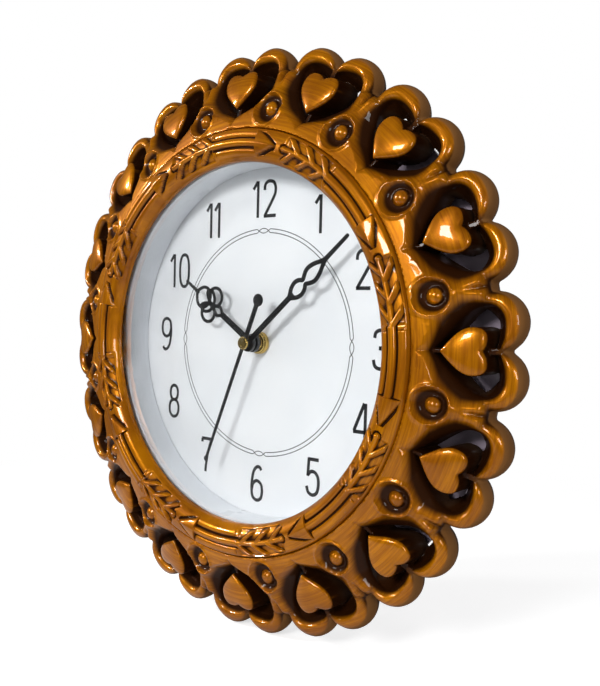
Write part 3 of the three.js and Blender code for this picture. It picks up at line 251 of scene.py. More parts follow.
# Hearts, in the plane of the rim: u across, v outwards from the dial's axis
HEARTS = 16
SECTOR = TAU / HEARTS
LOBE_PLACE, LOBE_RADIUS = (12.1, 137.5), 13.4
OPENING = {"tip": 114.5, "notch": 139.4, "top": 142.4, "half": 19.0, "widest": 135.4}
SMALL = {"tip": 119.0, "notch": 136.2, "top": 138.2, "half": 10.2, "widest": 132.4}


def cubic(points, count):
    """Points along a cubic curve with the given ends and handles."""
    t = np.linspace(0, 1, count, endpoint=False)[:, None]
    a, b, c, d = (np.array(p, float) for p in points)
    return (1 - t) ** 3 * a + 3 * (1 - t) ** 2 * t * b + 3 * (1 - t) * t * t * c + t ** 3 * d


def heart_outline(tip, notch, top, half, widest):
    """A heart with its tip towards the axis; its half width is reached at the widest place."""
    rise = widest - tip
    right = np.concatenate([
        cubic([(0, tip), (0.38 * half, tip + 0.28 * rise),
               (half, widest - 0.42 * rise), (half, widest)], 24),
        cubic([(half, widest), (half, widest + 0.6 * (top - widest)),
               (0.85 * half, top), (0.55 * half, top)], 16),
        cubic([(0.55 * half, top), (0.28 * half, top),
               (0.1 * half, notch + 0.5 * (top - notch)), (0, notch)], 16),
    ])
    left = right[1:][::-1] * np.array([-1, 1])
    return np.concatenate([right, [(0, notch)], left])


class Table:
    """A function of u and v kept on a fine grid and looked up between its points."""

    def __init__(self, low, high, step):
        self.low, self.step = low, step
        axes = [np.arange(a, b + step, step) for a, b in zip(low, high)]
        self.grid = np.meshgrid(*axes, indexing="ij")
        self.values = None

    def __call__(self, u, v):
        t = self.values
        i = np.clip((u - self.low[0]) / self.step, 0, t.shape[0] - 1.001)
        j = np.clip((v - self.low[1]) / self.step, 0, t.shape[1] - 1.001)
        i0, j0 = i.astype(int), j.astype(int)
        a, b = i - i0, j - j0
        return ((1 - a) * ((1 - b) * t[i0, j0] + b * t[i0, j0 + 1])
                + a * ((1 - b) * t[i0 + 1, j0] + b * t[i0 + 1, j0 + 1]))


def distance_to(outline, low, high, step=0.1):
    """The distance to a closed outline, negative inside it."""
    table = Table(low, high, step)
    u, v = table.grid
    nearest = np.full(u.shape, 1e9)
    inside = np.zeros(u.shape, bool)
    for a, b in zip(outline, np.roll(outline, -1, 0)):
        along = b - a
        size = max(along @ along, 1e-12)
        t = np.clip(((u - a[0]) * along[0] + (v - a[1]) * along[1]) / size, 0, 1)
        nearest = np.minimum(nearest, (u - a[0] - t * along[0]) ** 2 + (v - a[1] - t * along[1]) ** 2)
        if a[1] != b[1]:
            crosses = (a[1] > v) != (b[1] > v)
            inside ^= crosses & (u < a[0] + (v - a[1]) * along[0] / along[1])
    table.values = np.sqrt(nearest) * np.where(inside, -1, 1)
    return table


def cushion(distance, low, high, step=0.2, rounds=2500):
    """How far a membrane swells over the inside of an outline, from 0 to 1, round at its edge."""
    table = Table(low, high, step)
    inside = distance(*table.grid) < 0
    swell = np.zeros(inside.shape)
    for _ in range(rounds):
        swell[1:-1, 1:-1] = (swell[2:, 1:-1] + swell[:-2, 1:-1] + swell[1:-1, 2:]
                             + swell[1:-1, :-2]) / 4 + 0.001
        swell[~inside] = 0
        swell[0] = swell[1]
    table.values = np.sqrt(swell / swell.max())
    return table


RANGE = (0, 100), (32, 154)
to_opening = distance_to(heart_outline(**OPENING), *RANGE)
to_small = distance_to(heart_outline(**SMALL), *RANGE)
small_swell = cushion(to_small, *RANGE)

# The moulded rim; falls are depths behind its front edge
SEAT_RADIUS, SEAT_FALL = 108, 8
SEAT_SLOPE, SPANDREL_CURVE = 0.2, 0.0055  # of the plain front, which steepens outwards
SPANDREL_BEND = 30  # and flattens again this far from the seat
FLATTENING, FLATTENING_REACH = 0.16, 3
WIDEST_FALL = 21  # where the outline is widest
SIDE_ROUND_REACH, SIDE_ROUND, SIDE_SLOPE = 8, 4.2, 2  # its rounding ahead of that
BACK_REACH, BACK_INSET = 11, 4.8  # and how it draws in behind
NOTCH_RADIUS, NOTCH_SHARE = 139.4, 0.3  # the ground between neighbouring lobes
SKIN = 2.4
ROUNDEL_RADIUS = 118
ROUNDEL = (ROUNDEL_RADIUS * math.sin(SECTOR / 2), ROUNDEL_RADIUS * math.cos(SECTOR / 2))
RIDGE, GROOVE, DOME = 8.2, 4.1, 3.4  # a roundel's rings, by their radii
RIDGE_HEIGHT, DISH_DEPTH = 0.8, 4.4
DOME_FALL, DOME_DROP = 3.4, 1.9
OPENWORK_DEPTH = 26
CREASE_END = 118  # inside this, flanks run on along the crease
FLANK_PLACES = [110.5, 119, 127, 135, 141]  # how wide and deep an opening's flank is,
FLANK_WIDTHS = [0.5, 8.2, 8.2, 5.6, 4.6]  # by the distance out from the axis
FLANK_DROPS = [0, 6.5, 7.0, 5.0, 4.6]
FLANK_CURVES = [127, 136], [1.35, 2]  # how hollow it is, by the same distance
FOLD_START, FOLD_REACH, FOLD_DEPTH, FOLD_WIDTH = 129, 7, 2.8, 1.3
LEAN_FALL, LEAN_SLOPE = 17.5, 0.72  # an opening's outer wall leans in behind this
LEAN_START, LEAN_REACH = 131, 5
SMALL_PLACE, SMALL_FALL, SMALL_SLOPE, SMALL_RISE = 118.4, 4.4, 0.29, 2.3
OUTER_WEB = {"half": 1.4, "drop": 4.5, "middle": 137.8, "reach": 4}
INNER_WEB = {"half": 0.9, "drop": 3, "middle": 116.5, "reach": 3.5}
BOSS_PLACE, BOSS_RADIUS, PILOT_RADIUS, PILOT_DEPTH = 102.6, 3.7, 1.7, 12.3


def in_sector(points):
    """u, v, radius and fall of points, folded into one half of one heart's sector."""
    x, y, z = points.T
    radius = np.hypot(x, z)
    turn = np.abs((np.arctan2(z, x) + SECTOR / 2) % SECTOR - SECTOR / 2)
    return radius * np.sin(turn), radius * np.cos(turn), radius, y - RIM_EDGE


def spandrel_fall(radius):
    """Fall of the plain front between the openings."""
    near = np.clip(radius - SEAT_RADIUS, 0, SPANDREL_BEND)
    beyond = np.maximum(radius - SEAT_RADIUS - SPANDREL_BEND, 0)
    bend_slope = SEAT_SLOPE + 2 * SPANDREL_CURVE * SPANDREL_BEND
    flatter = FLATTENING * beyond ** 2 / (beyond + FLATTENING_REACH)
    return SEAT_SLOPE * near + SPANDREL_CURVE * near ** 2 + bend_slope * beyond - flatter


def front_fall(u, v, radius):
    """Fall of the rim's front, with the flanks of the openings and the roundels."""
    plain = spandrel_fall(radius)
    width = np.interp(v, FLANK_PLACES, FLANK_WIDTHS)
    near = np.where(v < CREASE_END, np.minimum(to_opening(u, v), u), to_opening(u, v))
    share = np.clip((width - near) / width, 0, 1.15)
    flank = np.interp(v, FLANK_PLACES, FLANK_DROPS) * share ** np.interp(v, *FLANK_CURVES)
    rho = np.hypot(u - ROUNDEL[0], v - ROUNDEL[1])
    ridge = RIDGE_HEIGHT * np.exp(-(rho - RIDGE) ** 2)
    off_line = ROUNDEL[0] * v / ROUNDEL[1] - u
    fold = FOLD_DEPTH * np.exp(-(off_line / FOLD_WIDTH) ** 2) * ramp(radius, FOLD_START, FOLD_REACH)
    outer = plain + flank + fold - ridge
    share = ramp(rho, GROOVE, RIDGE - GROOVE)
    dish = plain - RIDGE_HEIGHT + DISH_DEPTH * (1 - share ** 2) + flank * share ** 3
    dome = DOME_FALL + DOME_DROP * (rho / DOME) ** 2.4
    inner = np.where(rho < GROOVE, smooth_min(dish, dome, 0.5), dish)
    return np.where(rho < RIDGE, inner, outer)


def small_base(v):
    """Fall of the small hearts' rims."""
    return SMALL_FALL + SMALL_SLOPE * (v - SMALL_PLACE)


def lobes(u, v):
    """Distance to the round lobes of a heart and of its neighbour, negative inside."""
    def lobe(turn, side):
        cu = side * LOBE_PLACE[0] * math.cos(turn) + LOBE_PLACE[1] * math.sin(turn)
        cv = LOBE_PLACE[1] * math.cos(turn) - side * LOBE_PLACE[0] * math.sin(turn)
        return np.hypot(u - cu, v - cv) - LOBE_RADIUS

    own = smooth_min(lobe(0, 1), lobe(0, -1), 2.4)
    return smooth_min(own, lobe(SECTOR, -1), 1.5)


def side_inset(fall):
    """How far the side lies inside the widest outline, ahead of it and behind it."""
    ahead = (WIDEST_FALL - fall) / SIDE_ROUND_REACH
    rounded = (SIDE_ROUND * (1 - np.sqrt(np.clip(1 - ahead ** 2, 0, 1)))
               + SIDE_SLOPE * np.maximum(ahead - 1, 0))
    behind = BACK_INSET * (np.maximum(fall - WIDEST_FALL, 0) / BACK_REACH) ** 2
    return np.where(fall < WIDEST_FALL, rounded, behind)


def web(u, v, below, half, drop, middle, reach):
    """A bar across an opening; below is the fall past the small hearts' rims."""
    return np.maximum(np.maximum(u - half, drop - below), np.abs(v - middle) - reach)


def rim_field(points):
    """The whole rim: its shell and hollow back, with the small hearts hung in the openings."""
    u, v, radius, fall = in_sector(points)
    opening = to_opening(u, v)
    front = front_fall(u, v, radius) - fall
    inset = side_inset(fall)
    ahead = fall < WIDEST_FALL
    notch = radius - NOTCH_RADIUS + np.where(ahead, NOTCH_SHARE, 1.0) * inset
    side = smooth_min(lobes(u, v) + inset, notch, 1.5)
    seat = np.minimum(SEAT_RADIUS - radius, SEAT_FALL - fall)
    shell = smooth_max(smooth_max(front, side, 2.6), seat, 0.5)
    lean = LEAN_SLOPE * np.clip(fall - LEAN_FALL, 0, OPENWORK_DEPTH - LEAN_FALL)
    lean = lean * ramp(v, LEAN_START, LEAN_REACH)
    skin = smooth_max(shell, -opening - lean, 1.5)
    beyond_wall = np.minimum(SKIN - opening, OPENWORK_DEPTH - fall)
    hollow = np.maximum(np.maximum(shell + SKIN, beyond_wall), BORE + SKIN - radius)
    boss, pilot = boss_fields(points, fall)
    hollow = np.maximum(hollow, -boss)
    body = np.maximum(np.maximum(skin, -hollow), BORE - radius)
    body = np.maximum(body, -pilot)
    below = fall - small_base(v)
    small = smooth_max(-SMALL_RISE * small_swell(u, v) - below, to_small(u, v), 0.9)
    webs = np.minimum(web(u, v, below, **OUTER_WEB), web(u, v, below, **INNER_WEB))
    hung = smooth_min(small, webs, 0.8)
    hung = np.maximum(hung, fall - OPENWORK_DEPTH)
    return np.maximum(smooth_min(body, hung, 0.4), fall - RIM_DEPTH)


def boss_fields(points, fall):
    """The cover's four screw bosses, and the pilot holes in them."""
    quarter = TAU / 4
    x, _, z = points.T
    turn = (np.arctan2(z, x) % quarter) - quarter / 2
    radius = np.hypot(x, z)
    rho = np.hypot(radius * np.cos(turn) - BOSS_PLACE, radius * np.sin(turn))
    return rho - BOSS_RADIUS, np.maximum(rho - PILOT_RADIUS, RIM_DEPTH - PILOT_DEPTH - fall)


def make_rim():
    """The rim, with marks for its paint: painted shade in the recesses, dark bare walls of the openings
    with painted shade on them, the skirt and the back.
    """
    reach = 152
    rim = implicit("rim_of_hearts", rim_field, (-reach, RIM_EDGE - 1.5, -reach),
                   (reach, RIM_BACK, reach), 0.8, most=190000, adaptivity=0.02)
    co = coordinates(rim)
    u, v, radius, fall = in_sector(co)
    normal = gradient(rim_field, co, 0.3)
    facing = -normal[:, 1] / np.maximum(np.linalg.norm(normal, axis=1), 1e-9)
    opening = to_opening(u, v)
    depth = fall - spandrel_fall(radius)
    rho = np.hypot(u - ROUNDEL[0], v - ROUNDEL[1])
    ahead = radius > SEAT_RADIUS + 0.6
    # Painted shade: these marks darken the flanks and the roundels' dishes by depth, the small hearts'
    # sides, and all inside the openings but the small hearts.
    flank = ramp(depth, 0.6, 4.2) * ahead * (opening < max(FLANK_WIDTHS))
    dish = ramp(depth, 0.4, 3) * (rho < RIDGE) * ramp(rho, DOME - 0.4, 0.8)
    small = to_small(u, v) < 0.7
    small_depth = ramp(fall - small_base(v), -0.4, 1.8)
    recess_shade = np.where(small & (opening < 0), small_depth, np.maximum(flank, dish))
    recess_shade = np.where(~small & (opening < -0.6), 1, recess_shade)
    # The deep walls of the openings are marked for dark bare plastic with painted shade on it.
    dark_wall_and_shade = ramp(fall, 15, 5) * (opening < 1) * ramp(-facing, -0.7, 0.3)
    edge = np.minimum(lobes(u, v), radius - NOTCH_RADIUS)
    skirt = ramp(fall, 15.6, 1.2) * (edge > -6) * (opening > 1.5) * (radius > 128)
    behind = ramp(-facing, 0, 0.5) * (fall > 12)
    marks = {"recess_shade": recess_shade, "dark_wall_and_shade": dark_wall_and_shade, "skirt": skirt, "behind": behind}
    for name, values in marks.items():
        paint_attribute(rim, name, values)
    place(rim, "housing", ["heart_rim"], "lacquer")


# The bezel: a domed ring in relief, one arrow to each eighth
ARROW_FRONT = edges("arrow_bezel")[0][1]
BEZEL_LIP, BEZEL_CREST, BEZEL_OUTER = 91.8, 99.75, 107.7
LIP_FRONT = GLASS_FRONT - 2.2
BEZEL_RISE = LIP_FRONT - ARROW_FRONT - 1.8  # from the lip's front to the crest
LEDGE_RADIUS, BEZEL_BACK = 97.1, -38.3  # behind the glass's edge, and on the rim's seat
ARROWS, ARROW_TIP = 8, 25.7
SPINE = 100.3  # the arrows' middle, from the axis
MM_PER_DEGREE, DEGREES_PER_MM = 1.75, 0.58  # along the arrows, about
HEAD_LENGTH, HEAD_HALF = 7.5, 6.4  # degrees and mm
BARBS, BARB_LAG, BARB_SWEEP = (25.4, 31.2, 37.0), 1.6, 0.72


def band(value, centre, half, soft):
    """1 within half of the centre, falling to 0 over soft."""
    return 0.5 - 0.5 * np.tanh((np.abs(value - centre) - half) / soft)


def stretch(along, start, end, soft=0.15):
    """1 between a start and an end, both in degrees past the tip."""
    return band(along, (start + end) / 2, (end - start) / 2, soft)


def rounded_bar(offset, half, height):
    """Height of a bar with a round top, by the offset from its middle."""
    return height * np.clip(1 - (offset / half) ** 2, 0, 1) ** 0.4


def arrow_forms(along, radius, more=0.0):
    """Height of an arrow by degrees past its tip and distance from the axis; more widens it."""
    across = radius - SPINE
    turn_more = more * DEGREES_PER_MM
    half = HEAD_HALF * (along + turn_more) / HEAD_LENGTH + more
    facet = 1.9 + 1.1 * np.clip(1 - np.abs(across) / np.maximum(half, 0.1), 0, 1)
    head = (facet * band(across, 0, np.maximum(half, 0), 0.12)
            * stretch(along, -0.05 - turn_more, HEAD_LENGTH + 0.05 + turn_more, 0.08))
    shaft = rounded_bar(across, 2.1 + more, 2.3) * stretch(along, 7.0, 25.2)
    inner_rail = rounded_bar(radius - 94.8, 2.8 + more, 1.6) * stretch(along, 7.6, 24.0)
    outer_rail = rounded_bar(radius - 105.5, 2.6 + more, 1.5) * stretch(along, 7.6, 24.0)
    spine = rounded_bar(across, 1.3 + more, 1.9) * stretch(along, 24.5, 42.3)
    knob = rounded_bar(np.hypot((along - 42.2) * MM_PER_DEGREE, across), 1.6 + more, 2.2)
    forms = [head, shaft, inner_rail, outer_rail, spine, knob]
    for start in BARBS:
        outward = along - start - BARB_SWEEP * (across - 1.0)
        inward = along - start - BARB_LAG - BARB_SWEEP * (-across - 1.0)
        forms.append(rounded_bar(outward, 1.2 + turn_more, 2.2) * band(across, 3.1, 2.9 + more, 0.25))
        forms.append(rounded_bar(inward, 1.15 + turn_more, 2.0) * band(across, -3.2, 2.9 + more, 0.25))
    return np.maximum.reduce(forms)


def arrow_relief(along, radius):
    """Height above the grooves, with a plain ground that dips round the arrows."""
    ground = 1.0 + 0.35 * np.clip(1 - ((radius - 100) / 7) ** 2, 0, 1)
    near = np.clip(arrow_forms(along, radius, 0.9), 0, 1) * band(radius, SPINE, 5.4, 0.5)
    feathers = stretch(along, 25.4, 41.8, 0.3) * band(radius, 100, 6.6, 0.3)
    ground = ground * (1 - 0.9 * np.maximum(near, feathers))
    return np.maximum(ground, arrow_forms(along, radius))


def cavity(relief, turns=4, rows=5):
    """How deep each place of a relief lies below what is round it, from 0 to 1."""
    padded = np.pad(relief, ((0, 0), (rows, rows)), mode="edge")
    around = np.zeros_like(relief)
    count = relief.shape[1]
    for turn in range(-turns, turns + 1):
        for out in range(2 * rows + 1):
            around += np.roll(padded, turn, 0)[:, out:out + count]
    places = (2 * turns + 1) * (2 * rows + 1)
    return ramp(around / places - relief, 0.15, 0.8)


def make_bezel():
    """The bezel: rows of points from its lip over the crest to its outer edge, and its back."""
    turns, inner_rows, outer_rows = 1600, 24, 28
    angle = np.linspace(0, 360, turns, endpoint=False)[:, None]
    swing = np.linspace(0, math.pi / 2, inner_rows, endpoint=False)
    beyond = np.linspace(0, 1, outer_rows)
    radius = np.concatenate([BEZEL_CREST - (BEZEL_CREST - BEZEL_LIP) * np.cos(swing),
                             BEZEL_CREST + (BEZEL_OUTER - BEZEL_CREST) * beyond])[None]
    dome = np.concatenate([np.sin(swing) ** (4 / 3), 1 - 0.3 * beyond ** 2])[None] * BEZEL_RISE
    rows = radius.shape[1]
    along = (angle - ARROW_TIP) % (360 / ARROWS) + 0 * radius
    relief = arrow_relief(along, radius + 0 * angle)
    rounding = 1.5 * ramp(radius, BEZEL_OUTER - 1.2, 1.2) ** 2
    stand = ramp(radius, BEZEL_LIP, 2.5)
    height = LIP_FRONT - dome - (relief - 1) * stand + rounding
    height = np.maximum(height, ARROW_FRONT - 0.3)
    ledge = GLASS_FRONT - 0.3
    back_r = [BEZEL_OUTER, LEDGE_RADIUS, LEDGE_RADIUS, BEZEL_LIP, BEZEL_LIP]
    back_y = [BEZEL_BACK, BEZEL_BACK, ledge, ledge, LIP_FRONT + 1.2]
    profile_r = np.concatenate([radius + 0 * height, np.tile(back_r, (turns, 1))], 1)
    profile_y = np.concatenate([height, np.tile(back_y, (turns, 1))], 1)
    turn = np.radians(angle)
    vertices = np.stack([profile_r * np.cos(turn), profile_y, profile_r * np.sin(turn)], 2)
    count = profile_r.shape[1]
    faces = []
    for k in range(turns):
        a, b = k * count, (k + 1) % turns * count
        faces += [(a + i, a + (i + 1) % count, b + (i + 1) % count, b + i) for i in range(count)]
    bezel = new_object("bezel_of_arrows", vertices.reshape(-1, 3), faces)
    clean(bezel, 50)
    co = coordinates(bezel)
    radius_here = np.hypot(co[:, 0], co[:, 2])
    angle_here = np.degrees(np.arctan2(co[:, 2], co[:, 0]))
    i = np.round((angle_here % 360) / 360 * turns).astype(int) % turns
    j = np.round(np.interp(radius_here, radius[0], np.arange(rows))).astype(int)
    # Painted shade in the bezel's grooves, by how deep they lie below what is round them.
    paint_attribute(bezel, "recess_shade", cavity(relief)[i, j])
    for name in ("dark_wall_and_shade", "skirt", "behind"):
        paint_attribute(bezel, name, np.zeros(len(co)))
    place(bezel, "housing", ["arrow_bezel"], "bezel_lacquer")


# Materials
class Tree:
    """A node tree, with a call that makes a node and feeds it."""

    def __init__(self, tree):
        self.nodes, self.links = tree.nodes, tree.links

    def node(self, kind, inputs=None, **settings):
        node = self.nodes.new(kind)
        for key, value in settings.items():
            setattr(node, key, value)
        for key, value in (inputs or {}).items():
            self.feed(node.inputs[key], value)
        return node

    def feed(self, socket, value):
        if isinstance(value, bpy.types.NodeSocket):
            self.links.new(value, socket)
        else:
            socket.default_value = value


class Paint(Tree):
    """A material's node tree, with the few calls that the surfaces here need."""

    def __init__(self, name):
        self.material = bpy.data.materials.new(name)
        self.material.use_nodes = True
        super().__init__(self.material.node_tree)
        self.shader = self.nodes["Principled BSDF"]
        self.output = self.nodes["Material Output"]

    def set(self, **values):
        for key, value in values.items():
            self.feed(self.shader.inputs[key.replace("_", " ")], value)

    def place(self):
        return self.node("ShaderNodeTexCoord").outputs["Object"]

    def stretched(self, scale):
        return self.node("ShaderNodeMapping", {"Vector": self.place(), "Scale": scale}).outputs[0]

    def noise(self, scale, vector=None, detail=3, roughness=0.5, distortion=0):
        return self.node("ShaderNodeTexNoise", {
            "Vector": vector or self.place(), "Scale": scale, "Detail": detail,
            "Roughness": roughness, "Distortion": distortion}).outputs["Fac"]

    def ramp(self, value, low, high, a=0.0, b=1.0):
        return self.node("ShaderNodeMapRange", {
            "Value": value, "From Min": low, "From Max": high, "To Min": a, "To Max": b},
            interpolation_type="SMOOTHSTEP").outputs[0]

    def mix(self, share, a, b):
        return self.node("ShaderNodeMix", {0: share, 6: a, 7: b}, data_type="RGBA").outputs[2]

    def math(self, operation, a, b=0.0):
        return self.node("ShaderNodeMath", {0: a, 1: b}, operation=operation).outputs[0]

    def attribute(self, name):
        return self.node("ShaderNodeAttribute", attribute_name=name).outputs["Fac"]

    def bump(self, height, distance, strength):
        self.set(Normal=self.node("ShaderNodeBump", {
            "Height": height, "Distance": distance, "Strength": strength}).outputs[0])


def colour(*rgb):
    """A colour as a screen shows it, 0 to 255, in linear light."""
    def linear(c):
        c /= 255
        return c / 12.92 if c <= 0.04045 else ((c + 0.055) / 1.055) ** 2.4
    return (*(linear(c) for c in rgb), 1.0)


def ring_grain(paint):
    """Fine streaks that run along the ring, as brushed wood stain does."""
    split = paint.node("ShaderNodeSeparateXYZ", {"Vector": paint.place()}).outputs
    z = paint.math("SUBTRACT", split[2], AXIS_Z * MM)
    radius = paint.math("SQRT", paint.math("ADD", paint.math("MULTIPLY", split[0], split[0]),
                                           paint.math("MULTIPLY", z, z)))
    unit = [paint.math("DIVIDE", value, radius) for value in (split[0], z)]
    out = paint.math("ADD", radius, paint.math("MULTIPLY", split[1], 0.6))
    return paint.node("ShaderNodeCombineXYZ", {
        0: paint.math("MULTIPLY", unit[0], 2.2), 1: paint.math("MULTIPLY", unit[1], 2.2),
        2: paint.math("MULTIPLY", out, 420.0)}).outputs[0]


def lacquer():
    """Gold-brown lacquer over a dark moulding, with painted shade in deep brown in the recesses and
    dark bare plastic with painted shade on the walls of the openings.
    """
    paint = Paint("gold_brown_lacquer")
    vector = ring_grain(paint)
    streak = paint.ramp(paint.noise(1.6, vector, 5, 0.62, 0.3), 0.36, 0.66)
    fine = paint.ramp(paint.noise(4.5, vector, 3, 0.6), 0.56, 0.72)
    cloud = paint.noise(38.0, detail=3)
    gold = paint.mix(streak, colour(150, 86, 0), colour(184, 113, 0))
    gold = paint.mix(paint.ramp(cloud, 0.35, 0.75, 0, 0.6), gold, colour(120, 62, 0))
    gold = paint.mix(paint.math("MULTIPLY", fine, 0.45), gold, colour(92, 43, 0))
    # Painted shade: deep brown in the recesses.
    recess_shade = paint.ramp(paint.attribute("recess_shade"), 0.0, 0.75)
    brown = paint.mix(recess_shade, gold, colour(44, 18, 0))
    # Dark bare plastic with painted shade, on the deep walls of the openings.
    dark_wall_and_shade = paint.mix(paint.noise(90.0), colour(38, 20, 7), colour(50, 30, 15))
    wall_share = paint.ramp(paint.attribute("dark_wall_and_shade"), 0.2, 0.9)
    brown = paint.mix(wall_share, brown, dark_wall_and_shade)
    skirt = paint.mix(paint.noise(55.0), colour(116, 78, 40), colour(96, 62, 28))
    skirt_share = paint.ramp(paint.attribute("skirt"), 0.1, 0.9)
    brown = paint.mix(skirt_share, brown, skirt)
    behind = paint.mix(paint.noise(60.0), colour(38, 24, 14), colour(52, 34, 20))
    brown = paint.mix(paint.ramp(paint.attribute("behind"), 0.3, 0.8), brown, behind)
    dull = paint.math("MAXIMUM", skirt_share, wall_share)
    dulled = paint.math("MAXIMUM", dull, paint.math("MULTIPLY", recess_shade, 0.6))
    rough = paint.math("ADD", paint.math("MULTIPLY", dulled, 0.45),
                       paint.ramp(cloud, 0.3, 0.7, 0.28, 0.36))
    sheen = paint.math("MULTIPLY", paint.math("SUBTRACT", 1.0, dull), 0.45)
    coat = paint.math("SUBTRACT", 0.5, paint.math("MULTIPLY", dulled, 0.5))
    paint.set(Base_Color=brown, Roughness=rough, Metallic=sheen, Coat_Weight=coat,
              Coat_Roughness=0.03, Specular_IOR_Level=0.1)
    paint.bump(paint.noise(260.0, detail=2), 0.00012, 0.25)
    return paint.material


def plastic(name, light, dark, rough=(0.35, 0.5), coat=0.0, grain=900.0, depth=0.00003):
    paint = Paint(name)
    cloud = paint.noise(30.0, detail=4)
    paint.set(Base_Color=paint.mix(paint.ramp(cloud, 0.3, 0.7), colour(*light), colour(*dark)),
              Roughness=paint.ramp(cloud, 0.25, 0.75, *rough), Coat_Weight=coat)
    paint.bump(paint.noise(grain, detail=3, roughness=0.6), depth, 0.6)
    return paint.material


def metal(name, light, dark, rough, scales=(40, 400, 40), depth=0.00001):
    paint = Paint(name)
    brushed = paint.noise(6.0, paint.stretched(scales), 4, 0.6)
    cloud = paint.noise(120.0, detail=4)
    tone = paint.mix(paint.ramp(brushed, 0.3, 0.7), colour(*light), colour(*dark))
    tone = paint.mix(paint.ramp(cloud, 0.55, 0.8, 0, 0.5), tone, colour(*[c * 0.7 for c in dark]))
    paint.set(Base_Color=tone, Metallic=1.0, Roughness=paint.ramp(brushed, 0.3, 0.7, *rough))
    paint.bump(brushed, depth, 0.5)
    return paint.material


def clear_glass():
    """Thin float glass: clear straight through, with a sharp reflection and a little dust."""
    paint = Paint("clear_glass")
    clear = paint.node("ShaderNodeBsdfTransparent", {"Color": (0.985, 0.99, 0.99, 1)}).outputs[0]
    gloss = paint.node("ShaderNodeBsdfGlossy", {"Color": (1, 1, 1, 1), "Roughness": 0.02}).outputs[0]
    fresnel = paint.node("ShaderNodeFresnel", {"IOR": 1.35}).outputs[0]
    share = paint.math("MULTIPLY", fresnel, paint.ramp(paint.noise(25.0, detail=4), 0.3, 0.7, 0.7, 1.0))
    mixed = paint.node("ShaderNodeMixShader", {0: share, 1: clear, 2: gloss}).outputs[0]
    paint.links.new(mixed, paint.output.inputs["Surface"])
    return paint.material


# Plastics by their slots: light and dark colour, roughness, clear coat, grain and its depth
PLASTICS = {
    "white_plastic": ((236, 239, 243), (228, 231, 236), (0.25, 0.4), 0.2),
    "dial_white": ((244, 245, 247), (238, 240, 243), (0.45, 0.6), 0.0, 1500.0, 0.00001),
    "cover_plastic": ((152, 138, 152), (138, 125, 138), (0.35, 0.5), 0.2, 1100.0, 0.00005),
    "rubber": ((30, 30, 30), (22, 22, 22), (0.7, 0.85)),
    "black_plastic": ((30, 30, 32), (22, 22, 24), (0.42, 0.6), 0.0, 1400.0, 0.00006),
    "bobbin_plastic": ((232, 224, 196), (220, 210, 180)),
    "board": ((24, 88, 52), (16, 70, 40), (0.25, 0.4), 0.4),
    "black_resin": ((20, 20, 20), (12, 12, 13), (0.12, 0.25), 0.5),
    "battery_wrap": ((60, 110, 160), (48, 96, 146), (0.18, 0.3), 0.6),
    "knob_plastic": ((226, 226, 222), (212, 212, 208)),
    "hand_black": ((10, 10, 11), (5, 5, 6), (0.28, 0.42), 0.3, 700.0, 0.00002),
    "gear_plastic": ((236, 232, 216), (224, 218, 200)),
    "ink": ((20, 20, 24), (12, 12, 15), (0.5, 0.65)),
}
# Metals: light and dark colour, roughness, the scales of the brushing and its depth
METALS = {
    "zinc_steel": ((196, 200, 206), (168, 172, 180), (0.25, 0.42)),
    "screw_steel": ((180, 180, 182), (150, 150, 154), (0.22, 0.36)),
    "brass": ((222, 190, 112), (190, 158, 84), (0.14, 0.28), (60, 900, 60)),
    "iron": ((132, 132, 136), (104, 104, 108), (0.35, 0.5)),
    "copper": ((196, 104, 52), (150, 70, 30), (0.18, 0.3), (30, 30, 2600), 0.00006),
    "can_steel": ((214, 214, 212), (190, 190, 190), (0.15, 0.28)),
    "spring_steel": ((214, 212, 200), (186, 184, 172), (0.14, 0.26)),
    "magnet": ((84, 84, 88), (60, 60, 64), (0.45, 0.6)),
}
FINISHES = {slot: plastic(slot, *look) for slot, look in PLASTICS.items()}
FINISHES.update({slot: metal(slot, *look) for slot, look in METALS.items()})
FINISHES["glass"] = clear_glass()
FINISHES["lacquer"] = FINISHES["bezel_lacquer"] = lacquer()


def dress_frame():
    """Gives each CAD node that stays in view its own finish, in its own slots."""
    for part in frame["record"]["subparts"]:
        for slot in frame["nodes"][part["node"]].material_slots:
            slot.material = FINISHES[part["material_slot"]]


# Curves that strokes follow
def smooth_through(points, steps=8, closed=False):
    """Points of a smooth curve through the given ones; columns past the second ride along."""
    p = np.array(points, float)
    count = len(p)
    before, after = (p[-1:], p[:2]) if closed else (2 * p[0] - p[1], 2 * p[-1] - p[-2])
    ahead = np.vstack([before, p, after])
    path = []
    for i in range(count if closed else count - 1):
        a, b, c, d = ahead[i:i + 4]
        for k in range(steps):
            t = k / steps
            path.append(0.5 * (2 * b + (c - a) * t + (2 * a - 5 * b + 4 * c - d) * t * t
                               + (3 * b - a - 3 * c + d) * t ** 3))
    path.append(p[0] if closed else p[-1])
    return np.array(path)


def distance_to_strokes(strokes, low, high, step=0.12):
    """The distance to drawn strokes, whose points are u, v and half of the stroke's width."""
    table = Table(low, high, step)
    u, v = table.grid
    table.values = np.full(u.shape, 1e3)
    for stroke in strokes:
        p = np.array(stroke, float)
        for a, b in zip(p[:-1], p[1:]):
            along = b[:2] - a[:2]
            t = ((u - a[0]) * along[0] + (v - a[1]) * along[1]) / max(along @ along, 1e-9)
            t = np.clip(t, 0, 1)
            reach = np.hypot(u - a[0] - t * along[0], v - a[1] - t * along[1])
            table.values = np.minimum(table.values, reach - a[2] - t * (b[2] - a[2]))
    return table


# Hands: flat stampings on round hubs, drawn pointing at twelve
HAND_THICKNESS = 0.6
HOUR_TURN, MINUTE_TURN, SECOND_TURN = 304.1, 50.7, 203.6  # degrees past twelve


